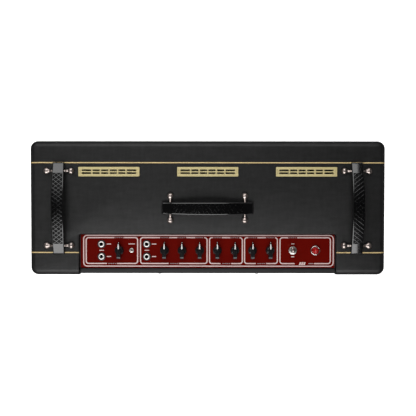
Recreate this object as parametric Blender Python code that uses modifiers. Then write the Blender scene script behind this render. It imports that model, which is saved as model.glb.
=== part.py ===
"""A guitar amplifier head: a vinyl-covered plywood box with a control panel let into the rear of its top.

Frame: metres, +Z up, the origin on the floor under the middle of the box. The grille faces -Y, the sockets
and the user face +Y, and +X is on the left of someone who stands behind the amplifier and reads the panel.
"""

import math

import bmesh
import bpy
from mathutils import Matrix, Vector

MM = 0.001

# ---- driving dimensions -------------------------------------------------------------------------------------
WIDTH = 702 * MM
DEPTH = 265 * MM
BOX_HEIGHT = 262 * MM
FOOT_HEIGHT = 14 * MM
WALL = 18 * MM  # plywood of the top, bottom and sides
CORNER_RADIUS = 15 * MM  # of the box as seen from above
EDGE_RADIUS = 12 * MM  # from its top and bottom into its sides
EDGE_STEPS = 4
GAP = 0.3 * MM  # between pieces that rest on each other
STEEL = 1.5 * MM

TOP = FOOT_HEIGHT + BOX_HEIGHT
FLOOR = FOOT_HEIGHT + WALL + GAP  # lowest level inside the box
CEILING = TOP - WALL - GAP
INNER_X = WIDTH / 2 - WALL - GAP
FRONT = -DEPTH / 2
BACK = DEPTH / 2

# the gold piping, let into a groove round the box
PIPING_Y = {"front": -89.4 * MM, "rear": 87.6 * MM}
PIPING_WIDTH = 2.2 * MM
PIPING_PROUD = 0.3 * MM
PIPING_DEPTH = 1.2 * MM
GROOVE_DEPTH = 1.6 * MM
GROOVE_WIDTH = 3.0 * MM

# the control panel and the notch in the top that it shows through
NOTCH_HALF = 254 * MM
NOTCH_FRONT = 50.5 * MM
RECESS = 8 * MM
PANEL_TOP = TOP - RECESS
PANEL_THICK = 2 * MM
PANEL_BACK = 118.5 * MM
CONTROL_Y = 84.0 * MM
KNOB_PITCH = 34.9 * MM
FIRST_KNOB_X = 85.6 * MM
VOLUME_1_X = 175.4 * MM
KNOB_LIFT = 1.3 * MM  # underside of a knob above the panel
POT_HOLE = 5.2 * MM
JACK_HALF_PITCH = 12.4 * MM
JACK_HOLE = 5.0 * MM
JACK_BORE = 3.3 * MM
JACK_SIDES = 8
JACK_MOUTH = 4 * MM  # how far a socket's mouth stands proud of its plate
JACK_BODY_HALF = 8 * MM
BRIGHT_X = 151.0 * MM
POWER_X = -168.9 * MM
POWER_TURN = math.radians(26)
POWER_TILT = 26  # degrees either side of upright
BRIGHT_TILT = 12
LAMP_X = -213.5 * MM

# strap handles: the middle one lies along X, the other two along Y
STRAP_HALF = 90 * MM
STRAP_WIDTH_END = 22.6 * MM
STRAP_WIDTH_MIDDLE = 25 * MM
STRAP_THICK_END = 8.6 * MM
STRAP_THICK_MIDDLE = 7.6 * MM
STRAP_SOFT = 1.8 * MM  # chamfer along the strap's edges
STRAP_END_TOP = 10 * MM
STRAP_RISE = 14 * MM
STRAP_STATIONS = 17
BAR_HALF_SPACING = 73.2 * MM
BAR_LEVEL = 8.0 * MM
BAR_RADIUS = 1.6 * MM
STRAP_LIFT = 1.2 * MM  # play of the strap on its bars
EAR_OFFSET = 24.4 * MM
HANDLES = {  # centre, turn about Z, sideways lean of the arch
    "left": ((292.5 * MM, 0.3 * MM), math.pi / 2, 1.0 * MM),
    "centre": ((0.3 * MM, 0.1 * MM), 0.0, 2.9 * MM),
    "right": ((-292.5 * MM, 0.3 * MM), math.pi / 2, 1.0 * MM),
}

# the brass-coloured vents on top
VENT_X = 194 * MM
VENT_Y = -71.6 * MM
VENT_SIZE = (120 * MM, 19 * MM, 2.6 * MM)
SLOT_WIDTH = 2.2 * MM
SLOT_ROW = 2.5 * MM
END_SLOT = 17 * MM
MID_SLOT = 13 * MM
SLOT_BAR = 4 * MM
MID_SLOTS = 4
VENT_HOLE_RIM = 5 * MM  # the plate reaches this far over the edge of the hole in the board
VENT_HOLE_BRIDGE = 6 * MM

# the front, set back behind the edge of the box
RAIL_SETBACK = 12 * MM
RAIL_THICK = 16 * MM
RAIL_HEIGHT = 46 * MM
CLOTH_SETBACK = 18 * MM
CLOTH_THICK = 1.4 * MM
BAFFLE_BACK = FRONT + 30 * MM

# chassis
SHELF = 84 * MM
CHASSIS_FRONT = -50 * MM
CHASSIS_BACK = 114 * MM
CHASSIS_HALF = 329 * MM
PLATE_BACK = 117 * MM
BACK_BOARD = (120 * MM, 129.8 * MM)
REAR_SLOTS = 13  # in each of two rows
REAR_SLOT_PITCH = 24 * MM
REAR_SLOT_SIZE = (3.4 * MM, 17 * MM)
REAR_ROW_PITCH = 34 * MM
GRILLE_TOP = 172 * MM
VALVE_Y = 86 * MM
BOARD_LEVEL = 236 * MM
OUTPUT_VALVES = {f"output_valve_{i + 1}": (-60 - 45 * i) * MM for i in range(4)}
PREAMP_VALVES = {f"preamp_valve_{i + 1}": (170 - 45 * i) * MM for i in range(3)}
SOCKET_Z = 58 * MM
REAR_JACKS_X = (40 * MM, 5 * MM, -30 * MM)
INLET_X = 250 * MM

COLOURS = {  # name: (red, green, blue), roughness, metallic
    "vinyl": ((0.032, 0.032, 0.032), 0.6, 0.0),
    "gold": ((0.42, 0.31, 0.12), 0.45, 0.2),
    "cloth": ((0.09, 0.055, 0.035), 0.9, 0.0),
    "plywood": ((0.45, 0.30, 0.16), 0.7, 0.0),
    "panel_red": ((0.10, 0.004, 0.002), 0.4, 0.1),
    "black_plastic": ((0.006, 0.006, 0.006), 0.35, 0.0),
    "rubber": ((0.012, 0.012, 0.012), 0.7, 0.0),
    "chrome": ((0.75, 0.73, 0.71), 0.15, 1.0),
    "steel": ((0.48, 0.49, 0.50), 0.4, 1.0),
    "black_steel": ((0.02, 0.02, 0.02), 0.5, 0.3),
    "board_green": ((0.02, 0.12, 0.05), 0.5, 0.0),
    "glass": ((0.75, 0.78, 0.80), 0.05, 0.0),
    "red_glass": ((0.6, 0.01, 0.01), 0.08, 0.0),
    "iron": ((0.06, 0.06, 0.065), 0.5, 0.5),
}


# ---- scene and materials ------------------------------------------------------------------------------------
def clear_scene():
    for obj in list(bpy.data.objects):
        bpy.data.objects.remove(obj)


def collection(name):
    made = bpy.data.collections.new(name)
    bpy.context.scene.collection.children.link(made)
    return made


def make_material(name, colour, roughness, metallic):
    made = bpy.data.materials.new(name)
    made.use_nodes = True
    shader = made.node_tree.nodes["Principled BSDF"]
    shader.inputs["Base Color"].default_value = (*colour, 1.0)
    shader.inputs["Roughness"].default_value = roughness
    shader.inputs["Metallic"].default_value = metallic
    made.diffuse_color = (*colour, 1.0)
    return made


clear_scene()
PARTS = collection("guitar_amp_head")
HELPERS = collection("cutters")
LOOKS = {name: make_material(name, *values) for name, values in COLOURS.items()}


# ---- modelling tools ----------------------------------------------------------------------------------------
def link(name, mesh, look=None):
    """A part of the amplifier if it has a look, or else a hidden helper such as a cutter."""
    obj = bpy.data.objects.new(name, mesh)
    if look is None:
        HELPERS.objects.link(obj)
        obj.hide_render = True
        obj.display_type = "WIRE"
    else:
        if not mesh.materials:
            mesh.materials.append(LOOKS[look])
        PARTS.objects.link(obj)
    return obj


def finish_mesh(name, shape, look=None):
    mesh = bpy.data.meshes.new(name)
    shape.to_mesh(mesh)
    shape.free()
    return link(name, mesh, look)


def runs_along(axis):
    """Picks the edges that run along X, Y or Z."""
    index = "XYZ".index(axis)

    def test(edge):
        line = (edge.verts[1].co - edge.verts[0].co).normalized()
        return abs(line[index]) > 0.99

    return test


def box(name, low, high, look=None, radius=0.0, steps=2, pick=None):
    """A box between two corners, with its edges rounded where pick says so."""
    low, high = Vector(low), Vector(high)
    shape = bmesh.new()
    bmesh.ops.create_cube(shape, size=1.0)
    bmesh.ops.scale(shape, vec=high - low, verts=shape.verts)
    bmesh.ops.translate(shape, vec=(low + high) / 2, verts=shape.verts)
    if radius:
        edges = [e for e in shape.edges if pick is None or pick(e)]
        bmesh.ops.bevel(shape, geom=edges, offset=radius, segments=steps, profile=0.5, affect="EDGES")
    return finish_mesh(name, shape, look)


TURN_TO = {
    "X": Matrix.Rotation(math.pi / 2, 3, "Y"),
    "Y": Matrix.Rotation(-math.pi / 2, 3, "X"),
    "Z": Matrix.Identity(3),
}


def cylinder(name, centre, radius, length, axis="Z", look=None, sides=10, far_radius=None, turn=0.0):
    """A cylinder or a cone. The turn is about its own axis, and half a side puts its flats where corners were."""
    shape = bmesh.new()
    far = radius if far_radius is None else far_radius
    bmesh.ops.create_cone(shape, cap_ends=True, segments=sides, radius1=radius, radius2=far, depth=length)
    bmesh.ops.rotate(shape, matrix=Matrix.Rotation(turn, 3, "Z"), verts=shape.verts)
    bmesh.ops.rotate(shape, matrix=TURN_TO[axis], verts=shape.verts)
    bmesh.ops.translate(shape, vec=centre, verts=shape.verts)
    return finish_mesh(name, shape, look)


def turned(name, profile, place, look=None, steps=10):
    """A solid of revolution about its own Z. The profile of (radius, height) runs from the axis at the top,
    down the outside, to the axis at the bottom."""
    mesh = bpy.data.meshes.new(name)
    points = [(radius, 0.0, height) for radius, height in profile]
    mesh.from_pydata(points, [(i, i + 1) for i in range(len(points) - 1)], [])
    obj = link(name, mesh, look)
    obj.location = place
    screw = obj.modifiers.new("Turn", "SCREW")
    screw.steps = steps
    screw.render_steps = steps
    screw.use_merge_vertices = True
    screw.merge_threshold = 0.00001
    return obj


def as_mesh(obj, look=None, name=None):
    """The evaluated shape of a helper as plain mesh, welded, in world space. The helper is removed."""
    bpy.context.view_layer.update()
    graph = bpy.context.evaluated_depsgraph_get()
    mesh = bpy.data.meshes.new_from_object(obj.evaluated_get(graph))
    mesh.transform(obj.matrix_world)
    shape = bmesh.new()
    shape.from_mesh(mesh)
    bmesh.ops.remove_doubles(shape, verts=shape.verts, dist=0.00001)
    shape.to_mesh(mesh)
    shape.free()
    mesh.materials.clear()
    label = name or obj.name
    bpy.data.objects.remove(obj)
    mesh.name = label
    return link(label, mesh, look)


def extruded(name, outline, low, high):
    """A flat outline of (x, y) points, extruded between two levels."""
    curve = bpy.data.curves.new(name + "_outline", "CURVE")
    curve.dimensions = "2D"
    curve.fill_mode = "BOTH"
    curve.extrude = (high - low) / 2
    spline = curve.splines.new("POLY")
    spline.points.add(len(outline) - 1)
    for point, (x, y) in zip(spline.points, outline):
        point.co = (x, y, 0.0, 1.0)
    spline.use_cyclic_u = True
    obj = link(name + "_outline", curve)
    obj.location.z = (low + high) / 2
    return as_mesh(obj, name=name)


def tube(name, points, depth, radii, sides_step=2):
    """A bent rod: a curve with a bevel, each point with its own share of the depth."""
    curve = bpy.data.curves.new(name + "_path", "CURVE")
    curve.dimensions = "3D"
    curve.bevel_depth = depth
    curve.bevel_resolution = sides_step
    curve.use_fill_caps = True
    spline = curve.splines.new("POLY")
    spline.points.add(len(points) - 1)
    for point, place, share in zip(spline.points, points, radii):
        point.co = (*place, 1.0)
        point.radius = share
    return as_mesh(link(name + "_path", curve), name=name)


def boolean(obj, other, operation):
    modifier = obj.modifiers.new(operation.title(), "BOOLEAN")
    modifier.operation = operation
    modifier.object = other
    modifier.solver = "EXACT"
    return obj


def cut(obj, *cutters):
    for cutter in cutters:
        boolean(obj, cutter, "DIFFERENCE")
    return obj


def fuse(obj, *others):
    for other in others:
        boolean(obj, other, "UNION")
    return obj


def folded(name, profile, half_length, thickness, look):
    """Sheet metal folded along X: an open profile of (y, z) points, drawn out and thickened."""
    shape = bmesh.new()
    verts = [shape.verts.new((-half_length, y, z)) for y, z in profile]
    edges = [shape.edges.new(pair) for pair in zip(verts, verts[1:])]
    grown = bmesh.ops.extrude_edge_only(shape, edges=edges)["geom"]
    moved = [v for v in grown if isinstance(v, bmesh.types.BMVert)]
    bmesh.ops.translate(shape, vec=(2 * half_length, 0, 0), verts=moved)
    return thickened(finish_mesh(name, shape, look), thickness)


def tray(name, low, high, open_normal, thickness, look):
    """A box of sheet metal with one open side, whose outward normal is given."""
    low, high = Vector(low), Vector(high)
    shape = bmesh.new()
    bmesh.ops.create_cube(shape, size=1.0)
    bmesh.ops.scale(shape, vec=high - low, verts=shape.verts)
    bmesh.ops.translate(shape, vec=(low + high) / 2, verts=shape.verts)
    shape.normal_update()
    away = [f for f in shape.faces if f.normal.dot(Vector(open_normal)) > 0.9]
    bmesh.ops.delete(shape, geom=away, context="FACES_ONLY")
    return thickened(finish_mesh(name, shape, look), thickness)


def thickened(obj, thickness):
    solidify = obj.modifiers.new("Thickness", "SOLIDIFY")
    solidify.thickness = thickness
    solidify.offset = -1.0
    solidify.use_even_offset = True
    return obj


def copies(proto, look, places):
    """One object for each name and place, all with the finished mesh of the prototype."""
    shared = as_mesh(proto, look, proto.name + "_shared")
    for name, matrix in places.items():
        link(name, shared.data, look).matrix_world = matrix
    bpy.data.objects.remove(shared)


# ---- cabinet ------------------------------------------------------------------------------------------------
def rounded_ring(name, inset, proud, middle_y, width):
    """A band round the box, between two outlines that follow its rounded section."""
    bands = []
    for part, grow in (("outer", proud), ("inner", -inset)):
        half = WIDTH / 2 + grow
        reach = width / 2 if part == "outer" else width
        bands.append(
            box(
                f"{name}_{part}",
                (-half, middle_y - reach, FOOT_HEIGHT - grow),
                (half, middle_y + reach, TOP + grow),
                radius=EDGE_RADIUS + grow,
                steps=EDGE_STEPS,
                pick=runs_along("Y"),
            )
        )
    return cut(bands[0], bands[1])


def rounded_form():
    """The outside of the box: its upright corners are rounded first, and then its top and bottom rims."""
    shape = bmesh.new()
    bmesh.ops.create_cube(shape, size=1.0)
    bmesh.ops.scale(shape, vec=(WIDTH, DEPTH, BOX_HEIGHT), verts=shape.verts)
    bmesh.ops.translate(shape, vec=(0, 0, FOOT_HEIGHT + BOX_HEIGHT / 2), verts=shape.verts)
    upright = runs_along("Z")
    corners = [edge for edge in shape.edges if upright(edge)]
    bmesh.ops.bevel(
        shape, geom=corners, offset=CORNER_RADIUS, segments=EDGE_STEPS, profile=0.5, affect="EDGES"
    )
    rims = [edge for edge in shape.edges if not upright(edge)]
    bmesh.ops.bevel(shape, geom=rims, offset=EDGE_RADIUS, segments=EDGE_STEPS, profile=0.5, affect="EDGES")
    return finish_mesh("cabinet_form", shape)


def build_cabinet():
    form = rounded_form()
    reach = 20 * MM
    grooves = [
        as_mesh(rounded_ring(f"groove_{side}", GROOVE_DEPTH, reach / 4, y, GROOVE_WIDTH))
        for side, y in PIPING_Y.items()
    ]
    inner = WIDTH / 2 - WALL
    panels = {
        "cabinet_top": ((-WIDTH, -DEPTH, TOP - WALL), (WIDTH, DEPTH, TOP + reach)),
        "cabinet_bottom": ((-WIDTH, -DEPTH, -reach), (WIDTH, DEPTH, FOOT_HEIGHT + WALL)),
        "cabinet_left_side": ((inner, -DEPTH, FLOOR), (WIDTH, DEPTH, CEILING)),
        "cabinet_right_side": ((-WIDTH, -DEPTH, FLOOR), (-inner, DEPTH, CEILING)),
    }
    made = {}
    for name, (low, high) in panels.items():
        panel = box(name, low, high, "vinyl")
        boolean(panel, form, "INTERSECT")
        made[name] = cut(panel, *grooves)
    notch = box(
        "panel_notch",
        (-NOTCH_HALF, NOTCH_FRONT, TOP - WALL - reach),
        (NOTCH_HALF, BACK + reach, TOP + reach),
    )
    cut(made["cabinet_top"], notch)
    half_y = VENT_SIZE[1] / 2 - VENT_HOLE_RIM
    for x in (-VENT_X, 0.0, VENT_X):
        for side in (-1, 1):
            ends = sorted((x + side * VENT_HOLE_BRIDGE / 2, x + side * (VENT_SIZE[0] / 2 - VENT_HOLE_RIM)))
            hole = box(
                f"vent_hole_{x:.3f}_{side}",
                (ends[0], VENT_Y - half_y, TOP - WALL - reach),
                (ends[1], VENT_Y + half_y, TOP + reach),
            )
            cut(made["cabinet_top"], hole)
    return notch


def build_piping(notch):
    for side, y in PIPING_Y.items():
        proto = rounded_ring(f"piping_{side}_band", PIPING_DEPTH, PIPING_PROUD, y, PIPING_WIDTH)
        band = as_mesh(proto, "gold", f"piping_{side}")
        if side == "rear":
            cut(band, notch)


def build_vents():
    length, width, thick = VENT_SIZE
    for name, x in (("left", VENT_X), ("centre", 0.0), ("right", -VENT_X)):
        vent = box(
            f"top_vent_{name}",
            (x - length / 2, VENT_Y - width / 2, TOP + GAP),
            (x + length / 2, VENT_Y + width / 2, TOP + GAP + thick),
            "gold",
        )
        lengths = [END_SLOT] + [MID_SLOT] * MID_SLOTS + [END_SLOT]
        run = sum(lengths) + SLOT_BAR * (len(lengths) - 1)
        start = x - run / 2
        for i, slot in enumerate(lengths):
            for row in (-1, 1):
                middle = VENT_Y + row * SLOT_ROW
                cutter = box(
                    f"slot_{name}_{i}_{row}",
                    (start, middle - SLOT_WIDTH / 2, TOP - MM),
                    (start + slot, middle + SLOT_WIDTH / 2, TOP + 2 * thick),
                )
                cut(vent, cutter)
            start += slot + SLOT_BAR


def build_front():
    rail_low = CEILING - RAIL_HEIGHT
    cloth_front = FRONT + CLOTH_SETBACK
    cloth_back = cloth_front + CLOTH_THICK
    slabs = (
        ("front_rail", "vinyl", FRONT + RAIL_SETBACK, FRONT + RAIL_SETBACK + RAIL_THICK, rail_low, CEILING),
        ("grille_cloth", "cloth", cloth_front, cloth_back, FLOOR, rail_low - GAP),
        ("front_baffle", "plywood", cloth_back + GAP, BAFFLE_BACK, FLOOR, rail_low - GAP),
    )
    for name, look, front, back, low, high in slabs:
        box(name, (-INNER_X, front, low), (INNER_X, back, high), look)


def build_back():
    low_y, high_y = BACK_BOARD
    board = box("upper_back_panel", (-INNER_X, low_y, GRILLE_TOP + GAP), (INNER_X, high_y, CEILING), "vinyl")
    tongue_half = NOTCH_HALF - 0.4 * MM
    tongue = box(
        "back_tongue",
        (-tongue_half, low_y, CEILING - 5 * MM),
        (tongue_half, high_y, PANEL_TOP),
    )
    fuse(board, tongue)
    grille = box(
        "rear_vent_grille",
        (-INNER_X, low_y, SHELF + 2 * GAP),
        (INNER_X, low_y + STEEL, GRILLE_TOP),
        "black_steel",
    )
    half_x, half_z = REAR_SLOT_SIZE[0] / 2, REAR_SLOT_SIZE[1] / 2
    for row in range(2):
        z = (SHELF + GRILLE_TOP) / 2 + (row - 0.5) * REAR_ROW_PITCH
        for i in range(REAR_SLOTS):
            x = (i - (REAR_SLOTS - 1) / 2) * REAR_SLOT_PITCH
            cutter = box(
                f"rear_slot_{row}_{i}",
                (x - half_x, low_y - STEEL, z - half_z),
                (x + half_x, low_y + 2 * STEEL, z + half_z),
            )
            cut(grille, cutter)


def build_feet():
    profile = [
        (0.0, FOOT_HEIGHT - GAP),
        (19 * MM, FOOT_HEIGHT - GAP),
        (19 * MM, 9 * MM),
        (16 * MM, 0.0),
        (6 * MM, 0.0),
        (5 * MM, 5 * MM),
        (0.0, 5 * MM),
    ]
    for row, y in (("front", -66 * MM), ("rear", 66 * MM)):
        for side, x in (("left", 305 * MM), ("right", -305 * MM)):
            turned(f"foot_{row}_{side}", profile, (x, y, 0.0), "rubber", steps=12)


# ---- handles ------------------------------------------------------------------------------------------------
def strap_top(along):
    """Height of the strap's upper face over the box, at a distance from its middle."""
    return STRAP_END_TOP + STRAP_RISE * (1 - (along / STRAP_HALF) ** 2) ** 2


def strap_section(along, lean):
    """The strap's rounded section at one station, as (across, height) points."""
    share = 1 - (along / STRAP_HALF) ** 2
    half = (STRAP_WIDTH_END + (STRAP_WIDTH_MIDDLE - STRAP_WIDTH_END) * share) / 2
    thick = STRAP_THICK_END + (STRAP_THICK_MIDDLE - STRAP_THICK_END) * share
    top = strap_top(along)
    soft = STRAP_SOFT
    middle = lean * share
    return [
        (middle - half, top - soft),
        (middle - half + soft, top),
        (middle + half - soft, top),
        (middle + half, top - soft),
        (middle + half, top - thick + soft),
        (middle + half - soft, top - thick),
        (middle - half + soft, top - thick),
        (middle - half, top - thick + soft),
    ]


def build_strap(name, centre, turn, lean):
    """A moulded strap, lofted through sections of changing width, with a channel for the bar at each end."""
    shape = bmesh.new()
    rings = []
    for i in range(STRAP_STATIONS):
        along = -STRAP_HALF + 2 * STRAP_HALF * i / (STRAP_STATIONS - 1)
        rings.append([shape.verts.new((along, across, z)) for across, z in strap_section(along, lean)])
    for near, far in zip(rings, rings[1:]):
        for k in range(len(near)):
            after = (k + 1) % len(near)
            shape.faces.new((near[k], near[after], far[after], far[k]))
    shape.faces.new(rings[0][::-1])
    shape.faces.new(rings[-1])
    bmesh.ops.recalc_face_normals(shape, faces=shape.faces)
    strap = finish_mesh(name, shape, "rubber")
    for side in (-1, 1):
        channel = box(
            f"{name}_channel_{side}",
            (side * BAR_HALF_SPACING - 5 * MM, -30 * MM, BAR_LEVEL - BAR_RADIUS - STRAP_LIFT - GAP),
            (side * BAR_HALF_SPACING + 5 * MM, 30 * MM, BAR_LEVEL + BAR_RADIUS + GAP),
        )
        channel.matrix_world = handle_place(centre, turn)
        cut(strap, channel)
    strap.matrix_world = handle_place(centre, turn)


def handle_place(centre, turn):
    return Matrix.Translation((*centre, TOP)) @ Matrix.Rotation(turn, 4, "Z")


def bracket_proto():
    """A bone-shaped bar that the strap threads on, with a domed screw through each end."""
    bar = tube(
        "bracket_bar",
        [
            (0, -22 * MM, 3.4 * MM),
            (0, -15 * MM, 6.4 * MM),
            (0, -12.8 * MM, BAR_LEVEL),
            (0, 12.8 * MM, BAR_LEVEL),
            (0, 15 * MM, 6.4 * MM),
            (0, 22 * MM, 3.4 * MM),
        ],
        BAR_RADIUS,
        (1.9, 1.45, 1.0, 1.0, 1.45, 1.9),
        sides_step=1,
    )
    ear_profile = [
        (0.0, 8.0 * MM),
        (2.6 * MM, 7.5 * MM),
        (4.6 * MM, 5.9 * MM),
        (5.9 * MM, 3.6 * MM),
        (6.0 * MM, GAP),
        (0.0, GAP),
    ]
    for side in (-1, 1):
        fuse(bar, turned(f"bracket_ear_{side}", ear_profile, (0, side * EAR_OFFSET, 0), steps=9))
    return bar


def build_handles():
    brackets = {}
    for name, (centre, turn, lean) in HANDLES.items():
        build_strap(f"handle_strap_{name}", centre, turn, lean)
        for i, side in enumerate((-1, 1)):
            along = Matrix.Translation((side * BAR_HALF_SPACING, 0, 0))
            brackets[f"handle_bracket_{name}_{i + 1}"] = handle_place(centre, turn) @ along
    copies(bracket_proto(), "chrome", brackets)


# ---- controls -----------------------------------------------------------------------------------------------
def knob_places():
    names = (
        "channel_2_volume",
        "treble",
        "bass",
        "reverb_tone",
        "reverb_level",
        "tone_cut",
        "master_volume",
    )
    places = {"knob_channel_1_volume": VOLUME_1_X}
    for i, name in enumerate(names):
        places[f"knob_{name}"] = FIRST_KNOB_X - i * KNOB_PITCH
    return places


def jack_places():
    return [(x, CONTROL_Y + side * JACK_HALF_PITCH) for x in (210.6 * MM, 120.9 * MM) for side in (-1, 1)]


def panel_holes(level):
    """Cutters for every hole that the panel and the chassis under it share."""
    reach = 12 * MM
    holes = [cylinder(f"pot_hole_{level:.4f}_{name}", (x, CONTROL_Y, level), POT_HOLE, reach)
             for name, x in knob_places().items()]
    holes += [cylinder(f"jack_hole_{level:.4f}_{i}", (*place, level), JACK_HOLE, reach)
              for i, place in enumerate(jack_places())]
    for name, x, radius in (
        ("bright", BRIGHT_X, 3.3 * MM),
        ("power", POWER_X, 6.3 * MM),
        ("lamp", LAMP_X, 6.8 * MM),
    ):
        holes.append(cylinder(f"{name}_hole_{level:.4f}", (x, CONTROL_Y, level), radius, reach))
    return holes


def build_panel():
    half = NOTCH_HALF - 0.6 * MM
    panel = box(
        "control_panel",
        (-half, NOTCH_FRONT + 0.6 * MM, PANEL_TOP - PANEL_THICK),
        (half, PANEL_BACK, PANEL_TOP),
        "panel_red",
    )
    cut(panel, *panel_holes(PANEL_TOP))


def knob_proto():
    """A pointer knob on its shaft. Its underside is at height 0 and its pointer looks to -Y."""
    outline = [
        (-1.4 * MM, -16.6 * MM),
        (1.4 * MM, -16.6 * MM),
        (3.5 * MM, -6 * MM),
        (4.2 * MM, 2 * MM),
        (4.2 * MM, 15.6 * MM),
        (3.0 * MM, 16.6 * MM),
        (-3.0 * MM, 16.6 * MM),
        (-4.2 * MM, 15.6 * MM),
        (-4.2 * MM, 2 * MM),
        (-3.5 * MM, -6 * MM),
    ]
    skirt = cylinder("knob_skirt", (0, 0, 1.25 * MM), 8.9 * MM, 2.5 * MM, sides=14, far_radius=8.6 * MM)
    drum = cylinder("knob_drum", (0, 0, 6.5 * MM), 8.0 * MM, 9 * MM, sides=14, far_radius=6.6 * MM)
    fin = extruded("knob_fin", outline, 1.2 * MM, 14 * MM)
    hollow = cylinder("knob_hollow", (0, 0, 2 * MM), 6.6 * MM, 6 * MM, sides=10)
    shaft = cylinder("knob_shaft", (0, 0, -6 * MM), 3.0 * MM, 24 * MM, sides=8)
    fuse(skirt, drum, fin)
    cut(skirt, hollow)
    return fuse(skirt, shaft)


def build_knobs():
    level = PANEL_TOP + KNOB_LIFT
    places = {name: Matrix.Translation((x, CONTROL_Y, level)) for name, x in knob_places().items()}
    copies(knob_proto(), "black_plastic", places)


def build_control_board():
    """The board that carries the eight potentiometers and the bright switch."""
    board = box(
        "control_board",
        (-140 * MM, 60 * MM, BOARD_LEVEL - 1.6 * MM),
        (196 * MM, 110 * MM, BOARD_LEVEL),
        "board_green",
    )
    pot = [
        (0.0, 250.4 * MM),
        (3.4 * MM, 250.4 * MM),
        (3.4 * MM, 272 * MM),
        (4.7 * MM, 272 * MM),
        (4.7 * MM, 249 * MM),
        (8.4 * MM, 249 * MM),
        (8.4 * MM, BOARD_LEVEL - 0.8 * MM),
        (0.0, BOARD_LEVEL - 0.8 * MM),
    ]
    for name, x in knob_places().items():
        fuse(board, turned(f"pot_of_{name}", pot, (x, CONTROL_Y, 0), steps=8))
    switch_body = box(
        "bright_body",
        (BRIGHT_X - 4 * MM, CONTROL_Y - 6.5 * MM, BOARD_LEVEL - 0.8 * MM),
        (BRIGHT_X + 4 * MM, CONTROL_Y + 6.5 * MM, 262 * MM),
    )
    bushing = [
        (0.0, 269.6 * MM),
        (2.2 * MM, 269.6 * MM),
        (2.2 * MM, 272.4 * MM),
        (3.0 * MM, 272.4 * MM),
        (3.0 * MM, 270.6 * MM),
        (4.4 * MM, 270.6 * MM),
        (4.4 * MM, PANEL_TOP + GAP),
        (3.0 * MM, PANEL_TOP + GAP),
        (3.0 * MM, 261 * MM),
        (0.0, 261 * MM),
    ]
    fuse(board, switch_body)
    fuse(board, turned("bright_bushing", bushing, (BRIGHT_X, CONTROL_Y, 0), steps=8))


def bat_lever(name, place, tilt, turn, ball, neck, tip, length):
    """A toggle lever on its ball. It leans towards the front of the amplifier by the tilt."""
    profile = [
        (0.0, length),
        (tip * 0.7, length - tip * 0.3),
        (tip, length - tip),
        (neck, ball * 0.9),
        (ball * 0.9, ball * 0.45),
        (ball, 0.0),
        (ball * 0.7, -ball * 0.7),
        (0.0, -ball),
    ]
    lever = turned(name, profile, (0, 0, 0), "chrome", steps=10)
    lean = Matrix.Rotation(turn, 4, "Z") @ Matrix.Rotation(tilt, 4, "X")
    lever.matrix_world = Matrix.Translation(place) @ lean


def build_switches():
    bat_lever(
        "bright_switch_lever",
        (BRIGHT_X, CONTROL_Y, 272.4 * MM),
        math.radians(BRIGHT_TILT),
        0.0,
        ball=1.8 * MM,
        neck=1.0 * MM,
        tip=1.5 * MM,
        length=10 * MM,
    )
    body = box(
        "power_switch_body",
        (POWER_X - 10 * MM, CONTROL_Y - 14 * MM, 240 * MM),
        (POWER_X + 10 * MM, CONTROL_Y + 14 * MM, 263.6 * MM),
        "chrome",
    )
    bushing = [
        (0.0, 276 * MM),
        (5.9 * MM, 276 * MM),
        (5.9 * MM, 262 * MM),
        (0.0, 262 * MM),
    ]
    nut = cylinder("power_nut", (0, 0, 0), 8.4 * MM, 2.8 * MM, sides=6)
    nut.location = (POWER_X, CONTROL_Y, PANEL_TOP + GAP + 1.4 * MM)
    nut.rotation_euler.z = math.pi / 6
    ball_room = cylinder("power_ball_room", (POWER_X, CONTROL_Y, 276 * MM), 4.6 * MM, 10 * MM, sides=12)
    fuse(body, turned("power_bushing", bushing, (POWER_X, CONTROL_Y, 0), steps=12), nut)
    cut(body, ball_room)
    bat_lever(
        "power_switch_lever",
        (POWER_X, CONTROL_Y, 275.6 * MM),
        math.radians(POWER_TILT),
        POWER_TURN,
        ball=4.0 * MM,
        neck=1.9 * MM,
        tip=3.0 * MM,
        length=21 * MM,
    )


def build_lamp():
    bezel = [
        (0.0, 271.6 * MM),
        (7.8 * MM, 271.6 * MM),
        (8.6 * MM, 271.4 * MM),
        (9.8 * MM, 269.8 * MM),
        (9.8 * MM, PANEL_TOP + GAP),
        (6.3 * MM, PANEL_TOP + GAP),
        (6.3 * MM, 244 * MM),
        (0.0, 244 * MM),
    ]
    ring = turned("pilot_lamp_bezel", bezel, (LAMP_X, CONTROL_Y, 0), "chrome", steps=14)
    room = cylinder("lamp_room", (LAMP_X, CONTROL_Y, 271.0 * MM), 7.6 * MM, 4 * MM, sides=14)
    cut(ring, room)
    jewel = [
        (0.0, 280 * MM),
        (3.6 * MM, 279 * MM),
        (6.0 * MM, 276 * MM),
        (7.2 * MM, 272 * MM),
        (7.2 * MM, 269.3 * MM),
        (0.0, 269.3 * MM),
    ]
    turned("pilot_lamp_jewel", jewel, (LAMP_X, CONTROL_Y, 0), "red_glass", steps=10)


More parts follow.
